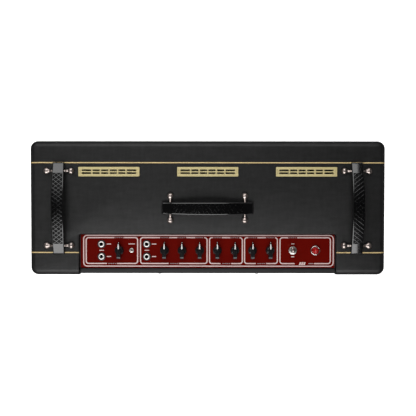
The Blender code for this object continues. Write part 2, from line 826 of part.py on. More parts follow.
def fuse_jack(board, name, place, axis, mouth):
    """Adds a jack socket to a board: body, bush and flanged ring nut. Returns the cutter of its bore.

    The mouth looks along the axis, and distances are measured from it into the socket.
    """

    def at(distance):
        spot = Vector(place)
        spot["XYZ".index(axis)] = mouth - distance
        return spot

    def spool(part, near, far, radius, base=None):
        middle = at((near + far) / 2)
        half_side = math.pi / JACK_SIDES
        return cylinder(
            f"{name}_{part}", middle, base or radius, far - near, axis, None, JACK_SIDES, radius, half_side
        )

    low, high = at(34 * MM), at(9.5 * MM)
    for i, letter in enumerate("XYZ"):
        if letter != axis:
            low[i] -= JACK_BODY_HALF
            high[i] += JACK_BODY_HALF
    fuse(
        board,
        box(f"{name}_body", low, high),
        spool("bush", 0.2 * MM, 12 * MM, 4.6 * MM),
        spool("nut", 0.0, 3.7 * MM, 5.8 * MM, 8.2 * MM),
    )
    return spool("bore", -4 * MM, 31 * MM, JACK_BORE)


def build_input_jacks():
    places = jack_places()
    mouth = PANEL_TOP + JACK_MOUTH
    for channel in (1, 2):
        pair = places[2 * channel - 2 : 2 * channel]
        x = pair[0][0]
        board = box(
            f"input_jacks_channel_{channel}",
            (x - 7 * MM, CONTROL_Y - 22 * MM, 236.4 * MM),
            (x + 7 * MM, CONTROL_Y + 22 * MM, 238.5 * MM),
            "black_plastic",
        )
        bores = [
            fuse_jack(board, f"jack_{channel}_{i}", (*place, 0.0), "Z", mouth)
            for i, place in enumerate(pair)
        ]
        cut(board, *bores)


# ---- chassis and electronics --------------------------------------------------------------------------------
def build_control_chassis():
    top = PANEL_TOP - PANEL_THICK - GAP
    web = NOTCH_FRONT + 2 * MM
    foot = SHELF + GAP + STEEL
    profile = [
        (web - 14 * MM, foot),
        (web, foot),
        (web, top),
        (118 * MM, top),
        (118 * MM, 242 * MM),
    ]
    chassis = folded("control_chassis", profile, 250 * MM, STEEL, "steel")
    cut(chassis, *panel_holes(top - STEEL))


def build_power_chassis():
    chassis = tray(
        "power_chassis",
        (-CHASSIS_HALF, CHASSIS_FRONT, FLOOR),
        (CHASSIS_HALF, CHASSIS_BACK, SHELF),
        (0, 0, -1),
        STEEL,
        "steel",
    )
    for name, x in {**OUTPUT_VALVES, **PREAMP_VALVES}.items():
        cut(chassis, cylinder(f"socket_hole_{name}", (x, VALVE_Y, SHELF), 10.2 * MM, 12 * MM))
    window = (26 * MM, 10 * MM)
    holes = [("rear_jack", x, (9 * MM, 9 * MM)) for x in REAR_JACKS_X] + [("inlet", INLET_X, window)]
    for i, (name, x, (half_x, half_z)) in enumerate(holes):
        cutter = box(
            f"{name}_window_{i}",
            (x - half_x, CHASSIS_BACK - 6 * MM, SOCKET_Z - half_z),
            (x + half_x, CHASSIS_BACK + 6 * MM, SOCKET_Z + half_z),
        )
        cut(chassis, cutter)
    plate = box(
        "rear_socket_plate",
        (-INNER_X, CHASSIS_BACK + GAP, FLOOR),
        (INNER_X, PLATE_BACK, SHELF),
        "black_steel",
    )
    for i, x in enumerate(REAR_JACKS_X):
        cut(plate, cylinder(f"rear_jack_hole_{i}", (x, PLATE_BACK, SOCKET_Z), JACK_HOLE, 12 * MM, "Y"))
    inlet_window = box(
        "inlet_plate_window",
        (INLET_X - 14.4 * MM, CHASSIS_BACK - 6 * MM, SOCKET_Z - 10.4 * MM),
        (INLET_X + 14.4 * MM, PLATE_BACK + 6 * MM, SOCKET_Z + 10.4 * MM),
    )
    cut(plate, inlet_window)


def build_mains_inlet():
    """A three-pole appliance inlet with its flange against the rear plate. Its cavity is open to the rear."""
    inlet = box(
        "mains_inlet",
        (INLET_X - 25 * MM, PLATE_BACK + GAP, SOCKET_Z - 12 * MM),
        (INLET_X + 25 * MM, PLATE_BACK + 3 * MM, SOCKET_Z + 12 * MM),
        "black_plastic",
    )
    body = box(
        "inlet_body",
        (INLET_X - 14 * MM, PLATE_BACK - 19 * MM, SOCKET_Z - 9.6 * MM),
        (INLET_X + 14 * MM, PLATE_BACK + 2 * MM, SOCKET_Z + 9.6 * MM),
    )
    cavity = box(
        "inlet_cavity",
        (INLET_X - 12 * MM, PLATE_BACK - 15 * MM, SOCKET_Z - 8 * MM),
        (INLET_X + 12 * MM, PLATE_BACK + 9 * MM, SOCKET_Z + 8 * MM),
    )
    cut(fuse(inlet, body), cavity)


def build_rear_jacks():
    """The board with the two loudspeaker sockets and the footswitch socket."""
    board = box(
        "rear_jacks",
        (min(REAR_JACKS_X) - 14 * MM, 92 * MM, SOCKET_Z - 5 * MM),
        (max(REAR_JACKS_X) + 14 * MM, 93.6 * MM, SOCKET_Z + 5 * MM),
        "black_plastic",
    )
    bores = [
        fuse_jack(board, f"rear_jack_{i}", (x, 0.0, SOCKET_Z), "Y", PLATE_BACK + JACK_MOUTH)
        for i, x in enumerate(REAR_JACKS_X)
    ]
    cut(board, *bores)


def build_main_board():
    """The board under the shelf, with the valve sockets that stand through it and the smoothing capacitors."""
    level = 62 * MM
    board = box("main_board", (-215 * MM, 0, level - 1.6 * MM), (190 * MM, 100 * MM, level), "board_green")
    slot = box(
        "board_clearance",
        (min(REAR_JACKS_X) - 18 * MM, 80 * MM, level - 20 * MM),
        (max(REAR_JACKS_X) + 18 * MM, 120 * MM, level + 10 * MM),
    )
    cut(board, slot)
    for name, x in {**OUTPUT_VALVES, **PREAMP_VALVES}.items():
        fuse(board, cylinder(f"socket_{name}", (x, VALVE_Y, level + 11 * MM), 9.6 * MM, 24 * MM))
    for i in range(4):
        fuse(
            board,
            cylinder(f"capacitor_{i}", (40 * MM + 40 * MM * i, 30 * MM, 52 * MM), 9 * MM, 34 * MM, "X", sides=8),
        )


def build_valves():
    envelope = [
        (0.0, 1.0),
        (0.12, 0.97),
        (0.2, 0.93),
        (0.8, 0.9),
        (1.0, 0.82),
        (1.0, 0.03),
        (0.85, 0.0),
        (0.0, 0.0),
    ]
    for places, height in ((OUTPUT_VALVES, 72 * MM), (PREAMP_VALVES, 50 * MM)):
        profile = [(11 * MM * r, height * z) for r, z in envelope]
        for name, x in places.items():
            turned(name, profile, (x, VALVE_Y, SHELF + 3 * MM), "glass", steps=9)


def build_transformer(name, centre_x, centre_y, core, winding):
    """A laminated core with its winding, standing on the shelf."""
    base = SHELF + GAP
    block = box(
        name,
        (centre_x - core[0] / 2, centre_y - core[1] / 2, base),
        (centre_x + core[0] / 2, centre_y + core[1] / 2, base + core[2]),
        "iron",
    )
    bobbin = box(
        f"{name}_winding",
        (centre_x - winding[0] / 2, centre_y - winding[1] / 2, base + 9 * MM),
        (centre_x + winding[0] / 2, centre_y + winding[1] / 2, base + core[2] - 9 * MM),
        radius=5 * MM,
        pick=runs_along("Z"),
    )
    flange = box(
        f"{name}_flange",
        (centre_x - core[0] / 2 - 9 * MM, centre_y - core[1] / 2, base),
        (centre_x + core[0] / 2 + 9 * MM, centre_y + core[1] / 2, base + 2 * MM),
    )
    fuse(block, bobbin, flange)


def build_reverb_tank():
    tray(
        "reverb_tank",
        (-212 * MM, -100 * MM, 95 * MM),
        (212 * MM, -67 * MM, 205 * MM),
        (0, -1, 0),
        1.2 * MM,
        "steel",
    )


def main():
    notch = build_cabinet()
    build_piping(notch)
    build_vents()
    build_front()
    build_back()
    build_feet()
    build_handles()
    build_panel()
    build_knobs()
    build_control_board()
    build_switches()
    build_lamp()
    build_input_jacks()
    build_control_chassis()
    build_power_chassis()
    build_mains_inlet()
    build_rear_jacks()
    build_main_board()
    build_valves()
    build_transformer("mains_transformer", 245 * MM, 0, (96 * MM, 46 * MM, 80 * MM), (62 * MM, 78 * MM))
    build_transformer("output_transformer", -200 * MM, 0, (84 * MM, 38 * MM, 70 * MM), (54 * MM, 66 * MM))
    build_reverb_tank()


main()
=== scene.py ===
"""The looks of the guitar amplifier head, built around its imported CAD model.

Sizes are in metres. The grille faces -Y, the control panel is at +Y, and the person who reads the
panel has +X on the left.
"""

import math

import bmesh
import bpy
from mathutils import Matrix, Vector


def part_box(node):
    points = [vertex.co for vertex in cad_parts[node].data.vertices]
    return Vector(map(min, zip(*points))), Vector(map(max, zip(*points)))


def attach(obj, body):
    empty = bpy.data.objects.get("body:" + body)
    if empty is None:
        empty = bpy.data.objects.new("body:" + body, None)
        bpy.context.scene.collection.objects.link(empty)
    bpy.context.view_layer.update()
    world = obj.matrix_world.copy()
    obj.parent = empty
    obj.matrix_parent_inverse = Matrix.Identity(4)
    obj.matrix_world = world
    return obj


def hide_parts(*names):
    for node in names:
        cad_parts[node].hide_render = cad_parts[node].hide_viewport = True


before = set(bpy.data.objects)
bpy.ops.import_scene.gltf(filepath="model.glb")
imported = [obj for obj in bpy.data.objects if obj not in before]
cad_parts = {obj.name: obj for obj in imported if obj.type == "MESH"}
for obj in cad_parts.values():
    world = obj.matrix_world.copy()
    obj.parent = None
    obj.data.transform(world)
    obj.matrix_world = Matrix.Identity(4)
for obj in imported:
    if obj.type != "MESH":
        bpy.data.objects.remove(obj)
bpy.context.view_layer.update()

MM = 0.001
BODY = "cabinet"

# ---- sizes read from the frame -------------------------------------------------------------------
TOP_LOW, TOP_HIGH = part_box("cabinet_top")
PANEL_LOW, PANEL_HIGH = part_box("control_panel")
TOP = TOP_HIGH.z
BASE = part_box("cabinet_bottom")[0].z
WIDTH = TOP_HIGH.x - TOP_LOW.x
DEPTH = TOP_HIGH.y - TOP_LOW.y
FRONT, BACK = TOP_LOW.y, TOP_HIGH.y
WALL = TOP_HIGH.z - TOP_LOW.z
PANEL_TOP = PANEL_HIGH.z
CORNER_RADIUS = 15 * MM  # seen from above
EDGE_RADIUS = 12 * MM  # of the rounding from the top into the sides


def middle(node):
    low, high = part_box(node)
    return (low + high) / 2


CONTROL_Y = middle("pilot_lamp_jewel").y
PIPING_Y = {side: middle(f"piping_{side}").y for side in ("front", "rear")}


# ---- mesh tools ----------------------------------------------------------------------------------
def new_mesh(name, points, faces):
    mesh = bpy.data.meshes.new(name)
    mesh.from_pydata([tuple(p) for p in points], [], faces)
    mesh.validate()
    shape = bmesh.new()
    shape.from_mesh(mesh)
    bmesh.ops.recalc_face_normals(shape, faces=shape.faces)
    shape.to_mesh(mesh)
    shape.free()
    return mesh


def from_bmesh(name, shape):
    mesh = bpy.data.meshes.new(name)
    shape.to_mesh(mesh)
    shape.free()
    return mesh


def smooth(mesh, angle=35):
    mesh.shade_smooth()
    mesh.set_sharp_from_angle(angle=math.radians(angle))
    return mesh


def moved(mesh, matrix):
    mesh.transform(matrix)
    return mesh


def at(x, y, z):
    return Matrix.Translation((x, y, z))


REARWARD = Matrix.Rotation(-math.pi / 2, 4, "X")  # stands a thing that points up out of the back


def joined(name, meshes):
    """Several closed shells as one mesh, which keeps each shell's material slot."""
    shape = bmesh.new()
    for mesh in meshes:
        shape.from_mesh(mesh)
    return from_bmesh(name, shape)


def filleted(points, radius, steps=4):
    """A polyline with its inner corners rounded."""
    points = [Vector(p) for p in points]
    out = [points[0]]
    for before, here, after in zip(points, points[1:], points[2:]):
        into, away = before - here, after - here
        reach = min(radius, into.length * 0.48, away.length * 0.48)
        start = here + into.normalized() * reach
        end = here + away.normalized() * reach
        for i in range(steps + 1):
            t = i / steps
            out.append(start * (1 - t) ** 2 + here * 2 * t * (1 - t) + end * t**2)
    out.append(points[-1])
    return out


def lathe(name, profile, steps=48, radius=0.3 * MM, arc=3, angle=35):
    """A solid of revolution about Z from a profile of (radius, height), with its corners softened."""
    outline = filleted(profile, radius, arc) if radius else [Vector(p) for p in profile]
    points, rings = [], []
    for r, z in outline:
        if r < 1e-7:
            rings.append([len(points)])
            points.append((0.0, 0.0, z))
            continue
        rings.append(range(len(points), len(points) + steps))
        for k in range(steps):
            turn = 2 * math.pi * k / steps
            points.append((r * math.cos(turn), r * math.sin(turn), z))
    faces = []
    for near, far in zip(rings, rings[1:]):
        for k in range(steps):
            after = (k + 1) % steps
            corners = [near[k % len(near)], near[after % len(near)]]
            corners += [far[after % len(far)], far[k % len(far)]]
            face = list(dict.fromkeys(corners))
            if len(face) > 2:
                faces.append(face)
    return smooth(new_mesh(name, points, faces), angle)


def in_metres(profile):
    return [(radius * MM, height * MM) for radius, height in profile]


def closed_ring(mesh):
    """Closes a turned ring whose profile starts and ends at the bore."""
    shape = bmesh.new()
    shape.from_mesh(mesh)
    rims = [e for e in shape.edges if e.is_boundary]
    bmesh.ops.bridge_loops(shape, edges=rims)
    bmesh.ops.recalc_face_normals(shape, faces=shape.faces)
    shape.to_mesh(mesh)
    shape.free()
    return smooth(mesh, 35)


def drum(name, radius, low, high, steps, soft=0.0):
    """A cylinder about Z, in millimetres."""
    return lathe(name, in_metres([(0, high), (radius, high), (radius, low), (0, low)]), steps, soft * MM)


def collar(name, inner, outer, low, high, steps, soft=0.3):
    """A cylinder about Z with a bore, in millimetres."""
    profile = in_metres([(inner, high), (outer, high), (outer, low), (inner, low)])
    return closed_ring(lathe(name, profile, steps, soft * MM))


def loft(name, rings, closed_ends=True, angle=35):
    """A skin through rings of equal length, with flat ends."""
    count = len(rings[0])
    points = [p for ring in rings for p in ring]
    faces = []
    for i in range(len(rings) - 1):
        for k in range(count):
            after = (k + 1) % count
            near, far = i * count, (i + 1) * count
            faces.append([near + k, near + after, far + after, far + k])
    if closed_ends:
        faces.append(list(range(count))[::-1])
        faces.append([len(points) - count + k for k in range(count)])
    return smooth(new_mesh(name, points, faces), angle)


def block(name, low, high, radius=0.0, steps=3, pick=None):
    """A box between two corners with rounded edges."""
    low, high = Vector(low), Vector(high)
    shape = bmesh.new()
    bmesh.ops.create_cube(shape, size=1.0)
    bmesh.ops.scale(shape, vec=high - low, verts=shape.verts)
    bmesh.ops.translate(shape, vec=(low + high) / 2, verts=shape.verts)
    if radius:
        edges = [e for e in shape.edges if pick is None or pick(e)]
        bmesh.ops.bevel(shape, geom=edges, offset=radius, segments=steps, profile=0.5, affect="EDGES")
    return smooth(from_bmesh(name, shape), 30)


def along(axis):
    index = "XYZ".index(axis)
    return lambda edge: abs((edge.verts[1].co - edge.verts[0].co).normalized()[index]) > 0.99


def round_rect(x0, x1, y0, y1, radius, steps=6):
    """A rounded rectangle as (x, y) points, anticlockwise from its lower right side."""
    corners = [(x1, y0, -90), (x1, y1, 0), (x0, y1, 90), (x0, y0, 180)]
    points = []
    for x, y, start in corners:
        cx = x - math.copysign(radius, x - (x0 + x1) / 2)
        cy = y - math.copysign(radius, y - (y0 + y1) / 2)
        for i in range(steps + 1):
            turn = math.radians(start + 90 * i / steps)
            points.append((cx + radius * math.cos(turn), cy + radius * math.sin(turn)))
    return points


def plate(name, outlines, low, high, bevel=0.0, bevel_steps=2):
    """A flat plate between two levels. The first outline is its edge and the others are holes."""
    curve = bpy.data.curves.new(name, "CURVE")
    curve.dimensions = "2D"
    curve.fill_mode = "BOTH"
    curve.extrude = (high - low) / 2 - bevel
    curve.bevel_depth = bevel
    curve.bevel_resolution = bevel_steps - 1 if bevel else 0
    curve.offset = -bevel
    for outline in outlines:
        spline = curve.splines.new("POLY")
        spline.points.add(len(outline) - 1)
        for point, (x, y) in zip(spline.points, outline):
            point.co = (x, y, 0.0, 1.0)
        spline.use_cyclic_u = True
    obj = bpy.data.objects.new(name, curve)
    bpy.context.scene.collection.objects.link(obj)
    obj.location.z = (low + high) / 2
    return welded(evaluated(obj))


def evaluated(obj):
    """The object's finished shape as a mesh, in world space. The object is removed."""
    bpy.context.view_layer.update()
    graph = bpy.context.evaluated_depsgraph_get()
    mesh = bpy.data.meshes.new_from_object(obj.evaluated_get(graph), depsgraph=graph)
    mesh.transform(obj.matrix_world)
    name = obj.name
    bpy.data.objects.remove(obj)
    mesh.name = name
    return mesh


def welded(mesh, distance=0.001 * MM):
    shape = bmesh.new()
    shape.from_mesh(mesh)
    bmesh.ops.remove_doubles(shape, verts=shape.verts, dist=distance)
    bmesh.ops.recalc_face_normals(shape, faces=shape.faces)
    shape.to_mesh(mesh)
    shape.free()
    return smooth(mesh, 35)


def carved(mesh, cutters, bevel=0.0, steps=3):
    """The mesh with each cutter mesh taken away, and then its sharp edges softened."""
    obj = bpy.data.objects.new(mesh.name, mesh)
    bpy.context.scene.collection.objects.link(obj)
    helpers = []
    for cutter in cutters:
        helper = bpy.data.objects.new("cutter", cutter)
        bpy.context.scene.collection.objects.link(helper)
        helpers.append(helper)
        modifier = obj.modifiers.new("Cut", "BOOLEAN")
        modifier.operation = "DIFFERENCE"
        modifier.solver = "EXACT"
        modifier.object = helper
    if bevel:
        softening = obj.modifiers.new("Soften", "BEVEL")
        softening.width = bevel
        softening.segments = steps
        softening.limit_method = "ANGLE"
        softening.angle_limit = math.radians(50)
        softening.use_clamp_overlap = True
    mesh = evaluated(obj)
    for helper in helpers:
        bpy.data.objects.remove(helper)
    mesh.materials.clear()
    return smooth(mesh, 40)


def sweep(name, path, section, closed=False, up=(0, 0, 1)):
    """A section of (side, up) points carried along a path, square to it."""
    path = [Vector(p) for p in path]
    up = Vector(up)
    rings = []
    last = len(path) - 1
    for i, place in enumerate(path):
        before = path[(i - 1) % len(path)] if closed or i else place
        after = path[(i + 1) % len(path)] if closed or i < last else place
        ahead = (after - before).normalized()
        side = ahead.cross(up).normalized()
        rise = side.cross(ahead)
        rings.append([place + side * a + rise * b for a, b in section])
    if closed:
        rings.append(rings[0])
    mesh = loft(name, rings, closed_ends=not closed)
    return welded(mesh) if closed else mesh


def circle(radius, steps=12):
    turns = [2 * math.pi * k / steps for k in range(steps)]
    return [(radius * math.cos(t), radius * math.sin(t)) for t in turns]


def put(name, mesh, look, body=BODY, replaces=()):
    """A visible piece that rides on a CAD body."""
    mesh.name = name
    obj = bpy.data.objects.new(name, mesh)
    bpy.context.scene.collection.objects.link(obj)
    looks = look if isinstance(look, (list, tuple)) else [look]
    mesh.materials.clear()
    for each in looks:
        mesh.materials.append(each)
    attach(obj, body)
    if replaces:
        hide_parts(*replaces)
    return obj


# ---- materials -----------------------------------------------------------------------------------
class Look:
    """A procedural material: a Principled shader and short ways to wire textures into it."""

    def __init__(self, name, colour, roughness, metallic=0.0, **values):
        self.material = bpy.data.materials.new(name)
        self.material.use_nodes = True
        self.nodes = self.material.node_tree.nodes
        self.wire = self.material.node_tree.links.new
        self.shader = self.nodes["Principled BSDF"]
        self.set("Base Color", (*colour, 1.0))
        self.set("Roughness", roughness)
        self.set("Metallic", metallic)
        for key, value in values.items():
            self.set(key.replace("_", " "), value)
        self.coordinates = self.nodes.new("ShaderNodeTexCoord").outputs["Object"]
        self.heights = []

    def set(self, socket, value):
        self.shader.inputs[socket].default_value = value

    def mapped(self, scale=(1, 1, 1), turn=(0, 0, 0)):
        node = self.nodes.new("ShaderNodeMapping")
        node.inputs["Scale"].default_value = scale
        node.inputs["Rotation"].default_value = turn
        self.wire(self.coordinates, node.inputs["Vector"])
        return node.outputs["Vector"]

    def noise(self, size, detail=3.0, scale=(1, 1, 1), roughness=0.55):
        """Noise whose blobs are about that size, in metres."""
        node = self.nodes.new("ShaderNodeTexNoise")
        node.inputs["Scale"].default_value = 1.0 / size
        node.inputs["Detail"].default_value = detail
        node.inputs["Roughness"].default_value = roughness
        self.wire(self.mapped(scale), node.inputs["Vector"])
        return node.outputs["Fac"]

    def cells(self, size, feature="F1", scale=(1, 1, 1)):
        node = self.nodes.new("ShaderNodeTexVoronoi")
        node.feature = feature
        node.inputs["Scale"].default_value = 1.0 / size
        self.wire(self.mapped(scale), node.inputs["Vector"])
        return node.outputs["Distance"]

    def waves(self, size, axis="X", turn=(0, 0, 0), distortion=0.0):
        node = self.nodes.new("ShaderNodeTexWave")
        node.bands_direction = axis
        node.inputs["Scale"].default_value = math.pi / (10 * size)
        node.inputs["Distortion"].default_value = distortion
        self.wire(self.mapped((1, 1, 1), turn), node.inputs["Vector"])
        return node.outputs["Fac"]

    def math(self, operation, a, b):
        node = self.nodes.new("ShaderNodeMath")
        node.operation = operation
        for socket, value in zip(node.inputs, (a, b)):
            if isinstance(value, (int, float)):
                socket.default_value = value
            else:
                self.wire(value, socket)
        return node.outputs[0]

    def spread(self, value, low, high, from_low=0.3, from_high=0.7):
        node = self.nodes.new("ShaderNodeMapRange")
        self.wire(value, node.inputs["Value"])
        for key, number in (
            ("From Min", from_low),
            ("From Max", from_high),
            ("To Min", low),
            ("To Max", high),
        ):
            node.inputs[key].default_value = number
        return node.outputs["Result"]

    def mix(self, share, first, second):
        node = self.nodes.new("ShaderNodeMix")
        node.data_type = "RGBA"
        self.wire(share, node.inputs["Factor"])
        for socket, value in ((node.inputs["A"], first), (node.inputs["B"], second)):
            if isinstance(value, tuple):
                socket.default_value = (*value, 1.0)
            else:
                self.wire(value, socket)
        return node.outputs["Result"]

    def colour(self, output):
        self.wire(output, self.shader.inputs["Base Color"])
        return self

    def tones(self, share, first, second, from_low=0.3, from_high=0.7):
        return self.colour(self.mix(self.spread(share, 0, 1, from_low, from_high), first, second))

    def rough(self, value, low, high, from_low=0.3, from_high=0.7):
        self.wire(self.spread(value, low, high, from_low, from_high), self.shader.inputs["Roughness"])
        return self

    def bump(self, height, depth):
        """Adds a bump of that depth in metres. Later calls go over earlier ones."""
        node = self.nodes.new("ShaderNodeBump")
        node.inputs["Strength"].default_value = 1.0
        node.inputs["Distance"].default_value = depth
        self.wire(height, node.inputs["Height"])
        if self.heights:
            self.wire(self.heights[-1], node.inputs["Normal"])
        self.heights.append(node.outputs["Normal"])
        self.wire(node.outputs["Normal"], self.shader.inputs["Normal"])
        return self


def vinyl_look(name="vinyl", dark=(0.0016, 0.0016, 0.0016), light=(0.0100, 0.0100, 0.0101)):
    look = Look(name, dark, 0.5, Specular_IOR_Level=0.3)
    across = look.noise(7 * MM, 4, (0.25, 1, 1))
    down = look.noise(6 * MM, 4, (1, 0.22, 1))
    cloud = look.noise(60 * MM, 3)
    share = look.math("ADD", look.math("MULTIPLY", across, 0.45), look.math("MULTIPLY", down, 0.35))
    share = look.math("ADD", share, look.math("MULTIPLY", cloud, 0.2))
    look.tones(share, dark, light, 0.35, 0.65)
    look.rough(share, 0.46, 0.36)
    weave = [look.waves(1.3 * MM, axis, distortion=0.8) for axis in "XYZ"]
    threads = look.math("ADD", look.math("ADD", weave[0], weave[1]), weave[2])
    look.bump(threads, 0.05 * MM)
    look.bump(look.cells(1.6 * MM), 0.06 * MM)
    return look.material


def gold_look(name, dark, light, roughness, metallic=0.25):
    look = Look(name, dark, roughness, metallic)
    grain = look.noise(1.4 * MM, 4)
    look.tones(grain, dark, light)
    look.rough(grain, roughness - 0.08, roughness + 0.1)
    look.bump(grain, 0.02 * MM)
    return look.material


def piping_look():
    look = Look("piping_gold", (0.3, 0.23, 0.1), 0.5, 0.2)
    twist = look.waves(1.6 * MM, "DIAGONAL")
    look.colour(look.mix(twist, (0.46, 0.33, 0.14), (0.76, 0.58, 0.28)))
    look.rough(look.noise(1 * MM), 0.4, 0.6)
    look.bump(twist, 0.12 * MM)
    return look.material


def panel_look():
    look = Look("panel_lacquer", (0.085, 0.0018, 0.0006), 0.15, 0.0, Specular_IOR_Level=0.2)
    cloud = look.noise(50 * MM, 2, (0.3, 1, 1))
    fine = look.noise(0.9 * MM, 3)
    share = look.math("ADD", look.math("MULTIPLY", cloud, 0.7), look.math("MULTIPLY", fine, 0.3))
    look.tones(share, (0.072, 0.0012, 0.0004), (0.100, 0.0024, 0.0008))
    look.rough(fine, 0.12, 0.2)
    look.bump(fine, 0.004 * MM)
    return look.material


def ink_look(name, colour, dark):
    look = Look(name, colour, 0.4, 0.3)
    speck = look.noise(0.7 * MM, 3)
    look.tones(speck, dark, colour, 0.25, 0.6)
    look.rough(speck, 0.35, 0.5)
    look.bump(speck, 0.004 * MM)
    return look.material


def plastic_look(name, dark=(0.0035, 0.0035, 0.0038), light=(0.009, 0.009, 0.0095), rough=(0.14, 0.24)):
    look = Look(name, dark, 0.3, Specular_IOR_Level=0.5)
    cloud = look.noise(4 * MM, 3)
    look.tones(cloud, dark, light)
    look.rough(look.noise(1.5 * MM, 5), *rough)
    look.bump(look.noise(0.5 * MM, 2), 0.003 * MM)
    return look.material


def rubber_look(name="rubber", rough=(0.10, 0.16), light=(0.0016, 0.0016, 0.0018), gloss=0.68):
    look = Look(name, (0.001, 0.001, 0.0011), 0.2, Specular_IOR_Level=gloss)
    cloud = look.noise(5 * MM, 4)
    look.tones(cloud, (0.0006, 0.0006, 0.0007), light)
    look.rough(look.noise(2 * MM, 4), *rough)
    look.bump(look.noise(0.45 * MM, 3), 0.003 * MM)
    return look.material


def metal_look(name, colour, rough, tint=0.85, grain=0.0, scale=(1, 1, 1)):
    dark = tuple(c * tint for c in colour)
    look = Look(name, colour, rough[0], 1.0)
    cloud = look.noise(3 * MM, 4, scale)
    look.tones(cloud, dark, colour)
    look.rough(look.noise(1.2 * MM, 4, scale), *rough)
    if grain:
        look.bump(look.noise(0.4 * MM, 3, scale), grain)
    return look.material


def painted_look(name, colour, rough=(0.35, 0.55), gloss=0.4):
    """Powder coat with a fine orange peel."""
    look = Look(name, colour, 0.45, Specular_IOR_Level=gloss)
    cloud = look.noise(12 * MM, 4)
    light = tuple(min(1.0, c * 1.5) for c in colour)
    look.tones(cloud, colour, light)
    look.rough(cloud, *rough)
    look.bump(look.noise(0.8 * MM, 2), 0.03 * MM)
    return look.material


def wood_look():
    look = Look("plywood_face", (0.45, 0.30, 0.16), 0.65)
    grain = look.noise(5 * MM, 6, (0.06, 1, 1))
    look.tones(grain, (0.36, 0.22, 0.11), (0.58, 0.42, 0.25))
    look.rough(grain, 0.55, 0.75)
    look.bump(grain, 0.08 * MM)
    return look.material


def cloth_look():
    look = Look("grille_weave", (0.05, 0.035, 0.02), 0.8, Sheen_Weight=0.25)
    warp = look.waves(1.6 * MM, "X")
    weft = look.waves(1.6 * MM, "Z")
    threads = look.math("MULTIPLY", warp, weft)
    look.colour(look.mix(threads, (0.012, 0.009, 0.006), (0.16, 0.105, 0.055)))
    look.rough(look.noise(3 * MM, 3), 0.7, 0.9)
    look.bump(threads, 0.35 * MM)
    return look.material


def jewel_look():
    look = Look("red_jewel", (0.4, 0.004, 0.004), 0.06, 0.0, IOR=1.5, Transmission_Weight=0.15)
    flame = look.noise(3 * MM, 2)
    look.tones(flame, (0.09, 0.0006, 0.0006), (0.5, 0.008, 0.008))
    look.rough(look.noise(1 * MM, 2), 0.04, 0.1)
    look.bump(look.noise(1 * MM, 2), 0.01 * MM)
    look.set("Emission Color", (1.0, 0.02, 0.015, 1.0))
    look.set("Emission Strength", 0.03)
    return look.material


def glass_look():
    look = Look("valve_glass", (0.9, 0.92, 0.93), 0.04, 0.0, IOR=1.5, Transmission_Weight=0.9)
    haze = look.noise(9 * MM, 3)
    look.tones(haze, (0.80, 0.83, 0.85), (0.95, 0.96, 0.97))
    look.rough(haze, 0.02, 0.1)
    look.bump(haze, 0.02 * MM)
    return look.material


def board_look():
    look = Look("circuit_board", (0.02, 0.12, 0.05), 0.45)
    lengthwise = look.waves(5 * MM, "X", distortion=6.0)
    crosswise = look.waves(7 * MM, "Y", distortion=5.0)
    tracks = look.math("MULTIPLY", lengthwise, crosswise)
    look.tones(tracks, (0.012, 0.085, 0.035), (0.03, 0.17, 0.07), 0.3, 0.34)
    look.rough(tracks, 0.35, 0.5)
    look.bump(tracks, 0.03 * MM)
    return look.material


def iron_look():
    look = Look("laminations", (0.05, 0.05, 0.055), 0.5, 0.6)
    sheets = look.waves(1.0 * MM, "X")
    look.colour(look.mix(sheets, (0.02, 0.02, 0.022), (0.075, 0.073, 0.07)))
    look.rough(look.noise(6 * MM, 3), 0.4, 0.65)
    look.bump(sheets, 0.1 * MM)
    return look.material


VINYL = vinyl_look()
GOLD = gold_look("vent_gold", (0.42, 0.355, 0.165), (0.53, 0.45, 0.225), 0.42, 0.1)
PIPING = piping_look()
PANEL = panel_look()
SILVER_INK = ink_look("silver_ink", (0.60, 0.47, 0.45), (0.50, 0.37, 0.355))
GREY_INK = ink_look("grey_ink", (0.30, 0.24, 0.24), (0.16, 0.10, 0.10))
WHITE_INK = ink_look("white_inlay", (0.80, 0.78, 0.76), (0.68, 0.66, 0.64))
KNOB_PLASTIC = plastic_look("knob_plastic")
JACK_PLASTIC = plastic_look("jack_plastic", rough=(0.35, 0.5))
RUBBER = rubber_look("strap_rubber")
RECESS_RUBBER = rubber_look("strap_recess_rubber", (0.3, 0.4), gloss=0.08)
FOOT_RUBBER = rubber_look("foot_rubber", (0.55, 0.75), (0.02, 0.02, 0.021))
CHROME = metal_look("chrome_plate", (0.40, 0.34, 0.315), (0.24, 0.36), 0.85)
BRIGHT_CHROME = metal_look("bright_chrome", (0.72, 0.69, 0.67), (0.08, 0.16), 0.93)
NICKEL = metal_look("nickel_nut", (0.62, 0.60, 0.57), (0.22, 0.36), 0.88, 0.01 * MM)
RING = metal_look("jack_ring_metal", (0.92, 0.89, 0.87), (0.46, 0.56), 0.94, 0.004 * MM)
STEEL = metal_look("zinc_steel", (0.48, 0.49, 0.50), (0.30, 0.45), 0.85, 0.02 * MM, (0.1, 1, 1))
BLACK_STEEL = painted_look("powder_coat", (0.012, 0.012, 0.012))
BACK_BLACK = painted_look("back_board_black", (0.009, 0.009, 0.0092), (0.5, 0.62), 0.3)
WOOD = wood_look()
CLOTH = cloth_look()
JEWEL = jewel_look()
GLASS = glass_look()
BOARD = board_look()
IRON = iron_look()
# painted shade: the black of the strip along the panel's edges, where the notch's walls shade the panel
PAINTED_SHADE_BLACK = plastic_look("painted_shade_black", (0.002, 0.002, 0.002), (0.003, 0.003, 0.003), (0.7, 0.9))


# ---- cabinet -------------------------------------------------------------------------------------
NOTCH_HALF = PANEL_HIGH.x + 0.6 * MM
NOTCH_FRONT = PANEL_LOW.y - 0.6 * MM
PIPING_RADIUS = 1.15 * MM
PIPING_INSET = 0.55 * MM  # of the bead's centre line under the surface
LOOP_STEPS = 10


